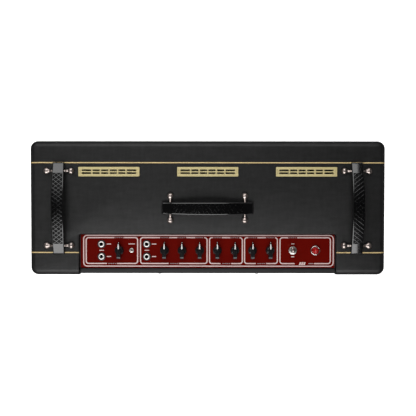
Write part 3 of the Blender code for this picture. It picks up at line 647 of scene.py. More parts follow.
def box_loop(inset, y):
    """The box's rounded outline at one depth, inset by a distance. It starts at the top right corner."""
    half = WIDTH / 2 - inset
    radius = EDGE_RADIUS - inset
    points = [(x, y, z) for x, z in round_rect(-half, half, BASE + inset, TOP - inset, radius, LOOP_STEPS)]
    start = 2 * (LOOP_STEPS + 1)
    return points[start:] + points[:start]


def rounded_shell():
    """The outside of the box: corners rounded as seen from above, and then a smaller rounding all round."""
    shape = bmesh.new()
    size = Vector((WIDTH, DEPTH, TOP - BASE))
    bmesh.ops.create_cube(shape, size=1.0)
    bmesh.ops.scale(shape, vec=size, verts=shape.verts)
    bmesh.ops.translate(shape, vec=(0, 0, (TOP + BASE) / 2), verts=shape.verts)
    upright = [e for e in shape.edges if along("Z")(e)]
    bmesh.ops.bevel(shape, geom=upright, offset=CORNER_RADIUS, segments=14, profile=0.5, affect="EDGES")
    rims = [e for e in shape.edges if not along("Z")(e)]
    bmesh.ops.bevel(shape, geom=rims, offset=EDGE_RADIUS, segments=12, profile=0.5, affect="EDGES")
    return smooth(from_bmesh("cabinet_shell", shape), 30)


def groove_ring(y):
    """The cutter of the groove that the piping lies in: a band round the box."""
    reach, depth, half = 4 * MM, 1.6 * MM, 1.3 * MM
    rings = [box_loop(-reach, y - half), box_loop(-reach, y + half), box_loop(depth, y + half)]
    rings.append(box_loop(depth, y - half))
    return welded(loft("groove", [*rings, rings[0]], closed_ends=False))


def build_cabinet():
    inner = WIDTH / 2 - WALL
    hollow = block(
        "hollow",
        (-inner, FRONT - WALL, BASE + WALL),
        (inner, BACK + WALL, TOP - WALL),
        radius=3 * MM,
        steps=3,
        pick=along("Y"),
    )
    notch = block(
        "notch",
        (-NOTCH_HALF, NOTCH_FRONT, TOP - 2 * WALL),
        (NOTCH_HALF, BACK + WALL, TOP + WALL),
        radius=4.5 * MM,
        steps=5,
        pick=along("Z"),
    )
    shell = carved(rounded_shell(), [hollow, notch], bevel=1.2 * MM, steps=3)
    cutters = [groove_ring(y) for y in PIPING_Y.values()]
    for node in VENTS:
        centre = middle(node)
        for side in (-1, 1):
            spot = Vector((centre.x + side * 28.5 * MM, centre.y, TOP))
            reach = Vector((25 * MM, 4.5 * MM, 3 * WALL))
            cutters.append(block("vent_hole", spot - reach, spot + reach))
    put(
        "cabinet_vinyl",
        carved(shell, [joined("cutters", cutters)]),
        VINYL,
        replaces=("cabinet_top", "cabinet_bottom", "cabinet_left_side", "cabinet_right_side"),
    )


def build_piping():
    """A cord of gold piping in each groove. The rear one stops at the notch."""
    bead = circle(PIPING_RADIUS)
    front = sweep("piping", box_loop(PIPING_INSET, PIPING_Y["front"]), bead, closed=True, up=(0, 1, 0))
    put("piping_bead_front", front, PIPING, replaces=("piping_front",))
    level = TOP - PIPING_INSET
    end = NOTCH_HALF + 0.1 * MM
    y = PIPING_Y["rear"]
    path = [(-end, y, level), *box_loop(PIPING_INSET, y), (end, y, level)]
    rear = sweep("piping", path, bead, up=(0, 1, 0))
    put("piping_bead_rear", rear, PIPING, replaces=("piping_rear",))


VENTS = ("top_vent_left", "top_vent_centre", "top_vent_right")
VENT_HALF_X, VENT_HALF_Y = 60.0 * MM, 9.3 * MM
VENT_ROW_Y = 2.8 * MM  # of each row of slots from the middle line
SLOT_HALF = 1.65 * MM
SLOT_START = -53.3 * MM
SLOT_LENGTHS = [length * MM for length in (18.2, 13.8, 13.8, 13.8, 13.8, 18.2)]
SLOT_GAP = 3.0 * MM
CHANNEL_HALF_X, CHANNEL_HALF_Y = 57.5 * MM, 1.85 * MM
VENT_CORNER = 1.2 * MM


def vent_mesh():
    """A vent plate about its own centre: two long channels with slots in their floors."""
    edge = round_rect(-VENT_HALF_X, VENT_HALF_X, -VENT_HALF_Y, VENT_HALF_Y, VENT_CORNER)
    slots, channels = [], []
    for row in (-VENT_ROW_Y, VENT_ROW_Y):
        x = SLOT_START
        for length in SLOT_LENGTHS:
            slots.append(round_rect(x, x + length, row - SLOT_HALF, row + SLOT_HALF, 0.8 * MM, 3))
            x += length + SLOT_GAP
        low, high = row - CHANNEL_HALF_Y, row + CHANNEL_HALF_Y
        channels.append(round_rect(-CHANNEL_HALF_X, CHANNEL_HALF_X, low, high, VENT_CORNER, 5))
    floor_sheet = plate("vent_floor", [edge, *slots], 1.0 * MM, 1.6 * MM, 0.1 * MM)
    face = plate("vent_face", [edge, *channels], 1.62 * MM, 2.6 * MM, 0.25 * MM)
    return smooth(joined("vent", [floor_sheet, face]), 35)


def build_vents():
    for node in VENTS:
        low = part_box(node)[0]
        centre = middle(node)
        mesh = moved(vent_mesh(), at(centre.x, centre.y, low.z))
        put(node.replace("top_vent", "vent_grille"), mesh, GOLD, replaces=(node,))


def build_front():
    low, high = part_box("front_rail")
    rail = block("front_rail_vinyl", low, high, radius=3 * MM, steps=4)
    put("front_rail_vinyl", rail, VINYL, replaces=("front_rail",))
    cloth_low, cloth_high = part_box("grille_cloth")
    columns, rows = 160, 48
    points, faces = [], []
    width, height = cloth_high.x - cloth_low.x, cloth_high.z - cloth_low.z
    for j in range(rows + 1):
        for i in range(columns + 1):
            u, v = i / columns, j / rows
            sag = math.sin(math.pi * u) * math.sin(math.pi * v)
            ripple = 0.15 * MM * math.sin(u * 31 + v * 7) * math.sin(v * 17)
            points.append(cloth_low + Vector((u * width, 0.5 * MM * sag + ripple, v * height)))
    for j in range(rows):
        for i in range(columns):
            a = j * (columns + 1) + i
            faces.append([a, a + 1, a + columns + 2, a + columns + 1])
    mesh = new_mesh("grille_cloth", points, faces)
    sheet = put("grille_cloth_sheet", smooth(mesh, 60), CLOTH, replaces=("grille_cloth",))
    thick = sheet.modifiers.new("Thickness", "SOLIDIFY")
    thick.thickness = 0.5 * MM
    thick.offset = 0.0
    paint(("front_baffle",), WOOD)
    frame_y = cloth_low.y - 1.6 * MM
    inset = 3.2 * MM
    half = cloth_high.x - inset
    corners = round_rect(-half, half, cloth_low.z + inset, cloth_high.z - inset, 4 * MM, 5)
    section = round_rect(-2.6 * MM, 2.6 * MM, -1.3 * MM, 1.3 * MM, 1.0 * MM, 3)
    bead = sweep("bead", [(x, frame_y, z) for x, z in corners], section, closed=True, up=(0, 1, 0))
    put("front_gold_bead", bead, GOLD)


def screw_head(radius=3.6 * MM, height=1.9 * MM, slot_width=0.9 * MM):
    """A domed screw with a cross recess, its top up +Z and its seat at height 0."""
    shares = [(0, 1), (0.55, 0.88), (0.9, 0.45), (1, 0), (0, 0)]
    profile = [(radius * out, height * up) for out, up in shares]
    head = lathe("screw", profile, 32, 0.5 * MM)
    cross = []
    for a, b in ((radius * 0.55, slot_width / 2), (slot_width / 2, radius * 0.55)):
        cross.append(block("cross", (-a, -b, height * 0.35), (a, b, height * 2)))
    return carved(head, cross)


# places along the back, and heights over the panel's lower edge, in millimetres
BACK_SCREWS = ((-300, 70), (300, 70), (-300, 10), (-100, 10), (100, 10), (300, 10))
TOP_EDGE_SCREWS = (-97.8 * MM, 95.7 * MM)
PLATE_SCREWS = (-310 * MM, -150 * MM, 110 * MM, 310 * MM)


def build_back():
    low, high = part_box("upper_back_panel")
    panel = block("board", low, (high.x, high.y, TOP_LOW.z - 0.3 * MM), radius=1.4 * MM, steps=3)
    tongue = block(
        "tongue",
        (-NOTCH_HALF + 0.4 * MM, low.y, TOP_LOW.z - 8 * MM),
        (NOTCH_HALF - 0.4 * MM, high.y, PANEL_TOP),
        radius=1.4 * MM,
        steps=4,
    )
    board = smooth(joined("back", [panel, tongue]), 35)
    put("back_board", board, BACK_BLACK, replaces=("upper_back_panel",))
    heads = [(x * MM, high.y, low.z + height * MM) for x, height in BACK_SCREWS]
    washer = lathe("washer", in_metres([(0, 1.1), (3.4, 1.1), (5.4, 0), (0, 0)]), 32)
    screw = moved(screw_head(), at(0, 0, 0.9 * MM))
    fixing = joined("fixing", [washer, screw])
    for i, place in enumerate(heads):
        mesh = moved(fixing.copy(), at(*place) @ REARWARD)
        put(f"back_screw_{i + 1}", smooth(mesh, 35), NICKEL)
    for i, x in enumerate(TOP_EDGE_SCREWS):
        flat = Matrix.Diagonal((0.9, 0.9, 0.62, 1.0))
        mesh = moved(fixing.copy(), at(x, high.y, PANEL_TOP - 7 * MM) @ REARWARD @ flat)
        put(f"top_edge_screw_{i + 1}", smooth(mesh, 35), BLACK_STEEL)


def build_feet():
    profile = in_metres([(0, 13.5), (19, 13.5), (19, 9), (16.2, 0), (7.5, 0), (6, 6), (0, 6)])
    for node in ("foot_front_left", "foot_front_right", "foot_rear_left", "foot_rear_right"):
        centre = middle(node)
        foot = moved(lathe("foot", profile, 56, 1.2 * MM, 4), at(centre.x, centre.y, 0))
        put(node + "_rubber", foot, FOOT_RUBBER, replaces=(node,))
        turn = Matrix.Rotation(math.pi, 4, "X")
        head = moved(screw_head(4.6 * MM, 2.2 * MM), at(centre.x, centre.y, 6 * MM) @ turn)
        put(node + "_screw", head, NICKEL)


# ---- strap handles -------------------------------------------------------------------------------
STRAP_HALF = 90 * MM
RIDGE_PITCH_ALONG = 8.3 * MM
RIDGE_PITCH_ACROSS = 10.8 * MM
RIDGE_HALF_WIDTH = 0.55 * MM
FLOOR_DEPTH = 0.5 * MM  # of the sunken field that the ridges stand in
PAD_START = 69 * MM
FIELD_BORDER = 2.7 * MM
PAD_STEP = 0.25 * MM  # length of the step from the field up to a pad
PAD_FALL = 0.10  # slope of a pad's top
BAR_HALF_SPACING = 73.2 * MM
BAR_LEVEL = 8.0 * MM
STRAP_EDGE = 2.2 * MM  # radius of the long edges
STRAP_END = 3.2 * MM  # radius of the ends
STRAP_STATIONS = 240
SIDE_DROP = 3.6 * MM  # from the top to the upright part of a side
SOLE_EDGE = 2 * MM  # of the rounding under the strap
RIDGE_STEP = 0.3 * MM
RIDGE_SINK = 0.03 * MM  # of a ridge's top under the border


def strap_top(u):
    """Height of the strap's top over the box. The end pads fall away a little more."""
    arch = 10 * MM + 14 * MM * (1 - (u / STRAP_HALF) ** 2) ** 1.5
    return arch - PAD_FALL * max(0.0, abs(u) - PAD_START)


def ease(value, low, high):
    """0 below low, 1 above high, smooth between."""
    t = min(1.0, max(0.0, (value - low) / (high - low)))
    return t * t * (3 - 2 * t)


def strap_half_width(u):
    return (22.6 * MM + 2.4 * MM * (1 - (u / STRAP_HALF) ** 2)) / 2


def strap_crown(v, half):
    """How far the strap's upper face falls away from its middle line."""
    return -0.5 * MM * (v / half) ** 2


def in_field(u, v):
    """Whether a place is in the sunken, ridged part of the strap, inside its smooth border and end pads."""
    return abs(u) < PAD_START and abs(v) < strap_half_width(u) - FIELD_BORDER


def strap_mesh(lean):
    """The strap without its ridges. The floor of the ridged field uses the second material."""
    stations = [-STRAP_HALF + 2 * STRAP_HALF * i / STRAP_STATIONS for i in range(STRAP_STATIONS + 1)]
    for side in (-1, 1):
        stations += [side * PAD_START, side * (PAD_START + PAD_STEP)]
    stations.sort()
    rings = []
    for u in stations:
        share = 1 - (u / STRAP_HALF) ** 2
        half = strap_half_width(u)
        thick = 8.6 * MM - 0.8 * MM * share - 0.08 * max(0.0, abs(u) - PAD_START)
        top, shift = strap_top(u), lean * share
        end = STRAP_HALF - abs(u)
        tuck = rounding(end, STRAP_END)
        sunken = FLOOR_DEPTH if abs(u) < PAD_START + 0.1 * MM else 0.0
        edge = half - FIELD_BORDER
        levels = [(half - STRAP_EDGE * f, 0.0) for f in (0.0, 0.06, 0.16, 0.32, 0.55, 0.8, 1.0)]
        levels += [(edge + 0.2 * MM, 0.0), (edge, sunken)]
        levels += [(edge * f, sunken) for f in (0.75, 0.5, 0.25)]
        across = levels + [(0.0, sunken)] + [(-v, drop) for v, drop in levels[::-1]]
        ring = []
        for v, drop in across:
            fall = max(rounding(half - abs(v), STRAP_EDGE), 0.9 * tuck)
            ring.append((u, v + shift, top + strap_crown(v, half) - fall - drop))
        low = top - thick
        flank = [(half, top - SIDE_DROP), (half, low + SOLE_EDGE), (half - 0.6 * MM, low + 0.5 * MM)]
        under = [(-v, z) for v, z in flank]
        under += [(v * (half - SOLE_EDGE), low + tuck * 0.7) for v in (-1, -0.5, 0, 0.5, 1)]
        under += flank[::-1]
        ring += [(u, v + shift, z) for v, z in under]
        rings.append(ring)
    strap = loft("strap", rings, angle=40)
    cutters = []
    for side in (-1, 1):
        x = side * BAR_HALF_SPACING
        low = (x - 4.9 * MM, -30 * MM, BAR_LEVEL - 3.0 * MM)
        high = (x + 4.9 * MM, 30 * MM, BAR_LEVEL + 1.9 * MM)
        cutters.append(block("channel", low, high, radius=1.5 * MM, steps=3, pick=along("Y")))
    return carved(strap, cutters)


def rounding(distance, radius):
    """How far a quarter round of that radius has dropped at a distance from the edge."""
    if distance >= radius:
        return 0.0
    return radius - math.sqrt(max(0.0, radius**2 - (radius - distance) ** 2))


def ridge_mesh(lean):
    """Crossed ridges over the strap's field: narrow strips with a flat top, soft edges and steep flanks.

    A section's first number is a share of the ridge's half width. The second is a height in millimetres.
    """
    ridges = []
    cross = math.hypot(RIDGE_PITCH_ALONG, RIDGE_PITCH_ACROSS)
    aside = Vector((RIDGE_PITCH_ACROSS, RIDGE_PITCH_ALONG)) / cross
    flank = [(1.0, -0.7), (0.94, -0.07), (0.87, -0.015), (0.80, 0.0)]
    section = [(-side, z) for side, z in flank] + flank[::-1]
    for sign in (-1, 1):
        for n in range(-12, 13):
            path = []
            for i in range(-40, 41):
                v = i * RIDGE_STEP
                u = (n + 0.25 * (sign + 1) - sign * v / RIDGE_PITCH_ACROSS) * RIDGE_PITCH_ALONG
                border = strap_half_width(u) - FIELD_BORDER + 0.1 * MM
                if abs(u) < PAD_START - RIDGE_STEP and abs(v) < border:
                    path.append((u, v))
            if len(path) < 3:
                continue
            rings = []
            for u, v in path:
                ring = []
                for side, z in section:
                    pu = u + side * RIDGE_HALF_WIDTH * aside.x
                    pv = v + sign * side * RIDGE_HALF_WIDTH * aside.y
                    half = strap_half_width(pu)
                    shift = lean * (1 - (pu / STRAP_HALF) ** 2)
                    level = strap_top(pu) + strap_crown(pv, half) - RIDGE_SINK
                    ring.append((pu, pv + shift, level + z * MM))
                rings.append(ring)
            ridges.append(loft("ridge", rings, angle=30))
    return smooth(joined("ridges", ridges), 30)


def bracket_mesh():
    """The chrome bar that the strap threads on, flaring to a dome at each end, lofted along Y."""
    stations = [  # distance from the middle, half width, top, underside
        (0.0, 1.6, 9.6, 6.4),
        (12.0, 1.6, 9.6, 6.4),
        (13.2, 1.9, 9.3, 5.6),
        (14.6, 2.15, 8.3, 4.2),
        (16.6, 2.35, 7.3, 2.7),
        (18.4, 3.0, 6.9, 1.4),
        (19.8, 4.1, 7.1, 0.6),
        (21.0, 5.1, 7.5, 0.35),
        (22.4, 5.8, 7.9, 0.3),
        (24.4, 6.1, 8.1, 0.3),
        (26.2, 5.85, 7.8, 0.3),
        (27.8, 5.1, 6.9, 0.3),
        (29.0, 4.0, 5.5, 0.3),
        (29.9, 2.6, 3.7, 0.35),
        (30.3, 1.2, 2.2, 0.5),
    ]
    sides = 28
    rings = []
    fine = []
    for a, b in zip(stations, stations[1:]):
        for i in range(3):
            t = i / 3
            fine.append([p + (q - p) * t for p, q in zip(a, b)])
    fine.append(list(stations[-1]))
    for _ in range(2):
        kept = [fine[0]]
        for a, b, c in zip(fine, fine[1:], fine[2:]):
            kept.append([(p + 2 * q + r) / 4 for p, q, r in zip(a, b, c)])
        kept.append(fine[-1])
        fine = kept
    whole = [[-s[0], *s[1:]] for s in fine[:0:-1]] + fine
    for y, half, top, low in whole:
        centre, rise = (top + low) / 2, (top - low) / 2
        ring = []
        for k in range(sides):
            turn = 2 * math.pi * k / sides
            x = half * math.cos(turn)
            z = centre + rise * math.sin(turn)
            ring.append((x * MM, y * MM, z * MM))
        rings.append(ring)
    return loft("bracket", rings, angle=60)


def build_handles():
    places = {
        "left": (292.5 * MM, 0.3 * MM, math.pi / 2, 1.0 * MM),
        "centre": (0.3 * MM, 0.1 * MM, 0.0, 0.8 * MM),
        "right": (-292.5 * MM, 0.3 * MM, math.pi / 2, 1.0 * MM),
    }
    bracket = bracket_mesh()
    for name, (x, y, turn, lean) in places.items():
        stand = at(x, y, TOP) @ Matrix.Rotation(turn, 4, "Z")
        body = f"strap_{name}"
        strap = put(
            body + "_moulding",
            strap_mesh(lean),
            (RUBBER, RECESS_RUBBER),
            body=body,
            replaces=(f"handle_strap_{name}",),
        )
        for face in strap.data.polygons:
            u, v, _ = face.center
            v -= lean * (1 - (u / STRAP_HALF) ** 2)
            face.material_index = int(face.normal.z > 0.5 and in_field(u, v))
        strap.data.transform(stand)
        put(body + "_ridges", moved(ridge_mesh(lean), stand), RUBBER, body=body)
        for i, side in enumerate((-1, 1)):
            mesh = moved(bracket.copy(), stand @ at(side * BAR_HALF_SPACING, 0, 0))
            node = f"handle_bracket_{name}_{i + 1}"
            put(node + "_chrome", mesh, CHROME, replaces=(node,))


# ---- controls ------------------------------------------------------------------------------------
KNOBS = ("channel_1_volume", "channel_2_volume", "treble", "bass")
KNOBS += ("reverb_tone", "reverb_level", "tone_cut", "master_volume")
KNOB_GAP = 1.3 * MM  # between the panel and the knob's underside
JACK_SPREAD = 12.4 * MM  # of a pair's jacks from their middle
JACK_PAIRS = {1: 210.6 * MM, 2: 120.9 * MM}  # each channel's place along the panel
POWER_X = -168.9 * MM
BRIGHT_X = 151.0 * MM
LAMP_X = -213.5 * MM
REAR_JACKS = (40 * MM, 5 * MM, -30 * MM)
REAR_JACK_LEVEL = 58 * MM
POWER_TURN = math.radians(26)  # of the switch about its own axis
POWER_LEAN = math.radians(26)
BRIGHT_LEAN = math.radians(12)


def ray_to_outline(turn, outline):
    """How far a ray from the origin goes before it leaves a convex outline."""
    ahead = Vector((math.cos(turn), math.sin(turn)))
    best = 0.0
    for a, b in zip(outline, outline[1:] + outline[:1]):
        a, b = Vector(a), Vector(b)
        edge = b - a
        cross = ahead.x * edge.y - ahead.y * edge.x
        if abs(cross) < 1e-12:
            continue
        t = (a.x * edge.y - a.y * edge.x) / cross
        s = (a.x * ahead.y - a.y * ahead.x) / cross
        if t > 0 and -1e-9 <= s <= 1 + 1e-9:
            best = max(best, t)
    return best


POINTER_SIDE = [(1.3, -16.5), (2.3, -11.0), (3.3, -5.0), (4.0, 1.0), (4.25, 8.0), (4.25, 15.2), (3.3, 16.5)]
POINTER = POINTER_SIDE + [(-x, y) for x, y in POINTER_SIDE[::-1]]


def crest(y):
    """Height of the pointer's top edge over the knob's underside, in millimetres."""
    return 14.0 - 0.34 * max(0.0, y - 13.4) - 0.03 * max(0.0, -y)


def knob_mesh(steps=144):
    """A pointer knob: a skirted drum with a rounded shoulder and a raised pointer with a square tail."""
    levels = [  # share of the height, drum radius, pointer scale
        (0.00, 8.7, 0.0),
        (0.02, 8.9, 0.0),
        (0.15, 8.8, 0.0),
        (0.18, 8.5, 0.0),
        (0.185, 8.0, 1.0),
        (0.30, 7.95, 1.01),
        (0.46, 7.85, 1.0),
        (0.52, 7.6, 0.995),
        (0.56, 7.15, 0.99),
        (0.59, 6.5, 0.985),
        (0.615, 5.8, 0.98),
        (0.635, 5.0, 0.975),
        (0.66, 4.3, 0.97),
        (0.78, 3.9, 0.965),
        (0.90, 3.7, 0.95),
        (0.965, 3.45, 0.925),
        (0.992, 3.15, 0.89),
        (1.0, 2.8, 0.84),
        (1.0, 2.4, 0.72),
        (1.0, 1.6, 0.48),
        (1.0, 0.8, 0.24),
        (1.0, 0.1, 0.03),
    ]
    reach = [ray_to_outline(2 * math.pi * k / steps, POINTER) for k in range(steps)]
    rings = []
    for share, drum, scale in levels:
        ring = []
        for k in range(steps):
            turn = 2 * math.pi * k / steps
            out = max(drum, reach[k] * scale)
            x, y = out * math.cos(turn), out * math.sin(turn)
            ring.append((x * MM, y * MM, share * crest(y) * MM))
        rings.append(ring)
    return loft("knob", rings, angle=38)


def pointer_line_mesh():
    """The white inlay along the pointer's top and down its nose, in millimetres until the end."""
    stations = [  # y, height, half width, step back and down to the inlay's lower face
        (-3.6, crest(-3.6) + 0.12, 1.25, 0.0, 0.6),
        (-8.0, crest(-8.0) + 0.12, 1.1, 0.0, 0.6),
        (-12.0, crest(-12.0) + 0.12, 0.75, 0.0, 0.6),
        (-13.7, crest(-13.7) + 0.08, 0.6, 0.1, 0.6),
        (-14.9, 12.85, 0.5, 0.5, 0.6),
        (-15.9, 11.2, 0.45, 0.8, 0.5),
        (-16.55, 8.0, 0.45, 0.8, 0.3),
        (-16.75, 4.0, 0.45, 0.8, 0.3),
    ]
    rings = []
    for y, z, half, back, down in stations:
        ring = [(-half, y, z), (half, y, z), (half, y + back, z - down), (-half, y + back, z - down)]
        rings.append([Vector(p) * MM for p in ring])
    return loft("pointer_line", rings, angle=30)


def build_knobs():
    body_mesh = knob_mesh()
    line_mesh = pointer_line_mesh()
    for name in KNOBS:
        node = f"knob_{name}"
        place = at(middle(node).x, CONTROL_Y, PANEL_TOP + KNOB_GAP)
        put(
            node + "_body",
            moved(body_mesh.copy(), place),
            KNOB_PLASTIC,
            body=f"knob_{name}_body",
            replaces=(node,),
        )
        line = moved(line_mesh.copy(), place)
        put(node + "_line", line, WHITE_INK, body=f"knob_{name}_body")


def put_jack(name, place, node):
    """A jack socket: flange, ring nut, bush and case about an axis, with its mouth at height 0."""
    seat = lathe("jack_washer", in_metres([(0, -2.6), (7.9, -2.6), (8.2, -3.6), (0, -3.6)]), 56)
    crown = in_metres([(3.9, -0.2), (4.9, 0.0), (5.9, -0.8), (6.1, -2.55), (3.9, -2.55)])
    case = block("jack_case", (-8 * MM, -8 * MM, -34 * MM), (8 * MM, 8 * MM, -9.5 * MM), 0.8 * MM)
    flange = carved(seat, [drum("bore", 3.35, -9, 10, 32)])
    nut = closed_ring(lathe("jack_nut", crown, 56, 0.5 * MM))
    bush = collar("jack_bush", 3.3, 3.88, -12, -0.3, 40)
    case = carved(case, [drum("bore", 3.3, -30, 10, 32)])
    put(f"{name}_flange", moved(flange, place), JACK_PLASTIC, replaces=(node,))
    put(f"{name}_nut", moved(nut, place), RING)
    put(f"{name}_bush", moved(bush, place), JACK_PLASTIC)
    put(f"{name}_case", moved(case, place), JACK_PLASTIC)


def build_jacks():
    mouth = PANEL_TOP + 4 * MM
    for channel, x in JACK_PAIRS.items():
        node = f"input_jacks_channel_{channel}"
        for i, side in enumerate((-1, 1)):
            put_jack(f"input_jack_{channel}_{i + 1}", at(x, CONTROL_Y + side * JACK_SPREAD, mouth), node)
        low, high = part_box(node)
        strip = block("strip", (low.x + MM, low.y, low.z), (high.x - MM, high.y, low.z + 1.8 * MM), 0.3 * MM)
        put(f"input_jack_{channel}_strip", strip, JACK_PLASTIC)
    plate_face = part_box("rear_socket_plate")[1].y
    for i, x in enumerate(REAR_JACKS):
        place = at(x, plate_face + 4 * MM, REAR_JACK_LEVEL) @ REARWARD
        put_jack(f"rear_socket_{i + 1}", place, "rear_jacks")


def hex_nut(width, height, bore):
    """A hexagonal nut about Z, standing on height 0, with chamfered corners. Sizes are in millimetres."""
    shape = bmesh.new()
    radius = width * MM / math.sqrt(3)
    bmesh.ops.create_cone(shape, cap_ends=True, segments=6, radius1=radius, radius2=radius, depth=height * MM)
    bmesh.ops.translate(shape, vec=(0, 0, height * MM / 2), verts=shape.verts)
    bmesh.ops.bevel(shape, geom=shape.edges[:], offset=0.35 * MM, segments=2, profile=0.5, affect="EDGES")
    nut = from_bmesh("nut", shape)
    return carved(nut, [drum("hole", bore, -height, 2 * height, 40)])


def toggle_lever(ball, neck, tip, length):
    """A bat-shaped lever standing on its ball, about its own axis."""
    points = []
    count = 26
    for i in range(10):
        turn = math.pi / 2 * i / 9
        points.append((tip * math.sin(turn), length - tip + tip * math.cos(turn)))
    start, end = length - tip, ball * 0.75
    for i in range(1, count):
        t = i / count
        width = tip + (neck - tip) * ease(t, 0.0, 0.85) + 0.15 * MM * math.sin(math.pi * t)
        points.append((width, start + (end - start) * t))
    first = math.acos(min(1.0, neck / ball))
    for i in range(14):
        turn = first + (-math.pi / 2 - first) * i / 13
        points.append((max(0.0, ball * math.cos(turn)), ball * math.sin(turn)))
    points[0] = (0.0, points[0][1])
    points[-1] = (0.0, points[-1][1])
    return lathe("lever", points, 40, 0.0, angle=60)


def build_switches():
    lean = Matrix.Rotation(POWER_TURN, 4, "Z") @ Matrix.Rotation(POWER_LEAN, 4, "X")
    lever = toggle_lever(4.0 * MM, 1.9 * MM, 3.0 * MM, 21 * MM)
    lever = moved(lever, at(POWER_X, CONTROL_Y, 275.6 * MM) @ lean)
    node = ("power_switch_lever",)
    put("power_toggle_lever", lever, CHROME, body="power_lever", replaces=node)
    place = at(POWER_X, CONTROL_Y, PANEL_TOP)
    washer = moved(collar("washer", 4.9, 8.0, 0.2, 0.9, 48), place)
    put("power_washer", washer, NICKEL, replaces=("power_switch_body",))
    seat = place @ at(0, 0, 0.9 * MM) @ Matrix.Rotation(math.pi / 6, 4, "Z")
    put("power_hex_nut", moved(hex_nut(14.4, 2.6, 5.9), seat), NICKEL)
    threads = []
    height = 7.8
    for i in range(13):
        threads.append((5.85 * MM, (height - 0.6 * i) * MM))
        threads.append((5.45 * MM, (height - 0.3 - 0.6 * i) * MM))
    profile = [(4.5 * MM, 8.0 * MM), *threads, (5.4 * MM, -4.4 * MM), (4.5 * MM, -4.4 * MM)]
    bush = closed_ring(lathe("bush", profile, 48, 0.0, angle=25))
    put("power_bush", moved(bush, place), NICKEL)
    low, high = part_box("power_switch_body")
    case = block("case", (low.x, low.y, low.z), (high.x, high.y, 263.4 * MM), 1.2 * MM)
    put("power_switch_case", case, JACK_PLASTIC)

    lean = Matrix.Rotation(BRIGHT_LEAN, 4, "X")
    place = at(BRIGHT_X, CONTROL_Y, PANEL_TOP)
    lever = toggle_lever(1.8 * MM, 0.95 * MM, 1.5 * MM, 10 * MM)
    lever = moved(lever, at(BRIGHT_X, CONTROL_Y, 272.4 * MM) @ lean)
    node = ("bright_switch_lever",)
    put("bright_toggle_lever", lever, CHROME, body="bright_lever", replaces=node)
    nut = moved(hex_nut(7.6, 1.9, 2.95), place @ at(0, 0, 0.5 * MM))
    put("bright_hex_nut", nut, NICKEL)
    put("bright_washer", moved(collar("washer", 2.95, 4.6, 0.15, 0.5, 40, 0.1), place), NICKEL)
    put("bright_bush", moved(collar("bush", 2.15, 2.9, -6, 4.2, 36, 0.2), place), NICKEL)


BOARD_THICKNESS = 1.6 * MM
LUG_PLACES = (-5, 0, 5)  # along the panel, in millimetres
SWITCH_HALF_X, SWITCH_HALF_Y = 3.8 * MM, 6.4 * MM  # of the bright switch's case
# width and height of the black strip of painted shade along the panel's edges
SHADE_STRIP_WIDTH, SHADE_STRIP_HEIGHT = 1.5 * MM, 0.9 * MM


def build_control_board():
    """The board under the panel, with its eight potentiometers and the body of the bright switch."""
    low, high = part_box("control_board")
    level = low.z + BOARD_THICKNESS
    board = block("board", (low.x, low.y, low.z), (high.x, high.y, level), 0.2 * MM, 1)
    put("control_board_laminate", board, BOARD, replaces=("control_board",))
    can = drum("can", 8.3, 0.1, 13, 40, 0.8)
    bush = collar("stem", 3.4, 4.7, 12.6, 35.8, 32)
    lugs = []
    for x in LUG_PLACES:
        lugs.append(block("lug", ((x - 0.6) * MM, 8 * MM, 2 * MM), ((x + 0.6) * MM, 14 * MM, 2.8 * MM)))
    pot = joined("pot", [can, bush, *lugs])
    for name in KNOBS:
        place = at(middle(f"knob_{name}").x, CONTROL_Y, level)
        put(f"pot_{name}", smooth(moved(pot.copy(), place), 35), NICKEL)
    case = block(
        "case",
        (BRIGHT_X - SWITCH_HALF_X, CONTROL_Y - SWITCH_HALF_Y, level + 0.1 * MM),
        (BRIGHT_X + SWITCH_HALF_X, CONTROL_Y + SWITCH_HALF_Y, 262 * MM),
        0.6 * MM,
    )
    put("bright_switch_case", case, JACK_PLASTIC)


def build_painted_shade_strip():
    """A black strip of painted shade along the panel's front and side edges, where the notch's walls shade
    the panel.
    """
    low, high = PANEL_LOW, PANEL_HIGH
    level = PANEL_TOP + 0.02 * MM
    top, inner = level + SHADE_STRIP_HEIGHT, low.y + SHADE_STRIP_WIDTH
    strips = [
        ((low.x, low.y, level), (high.x, inner, top)),
        ((low.x, inner, level), (low.x + SHADE_STRIP_WIDTH, high.y, top)),
        ((high.x - SHADE_STRIP_WIDTH, inner, level), (high.x, high.y, top)),
    ]
    shade_strip = joined("shade_strip", [block("strip", a, b, 0.3 * MM) for a, b in strips])
    put("panel_painted_shade", smooth(shade_strip, 35), PAINTED_SHADE_BLACK)


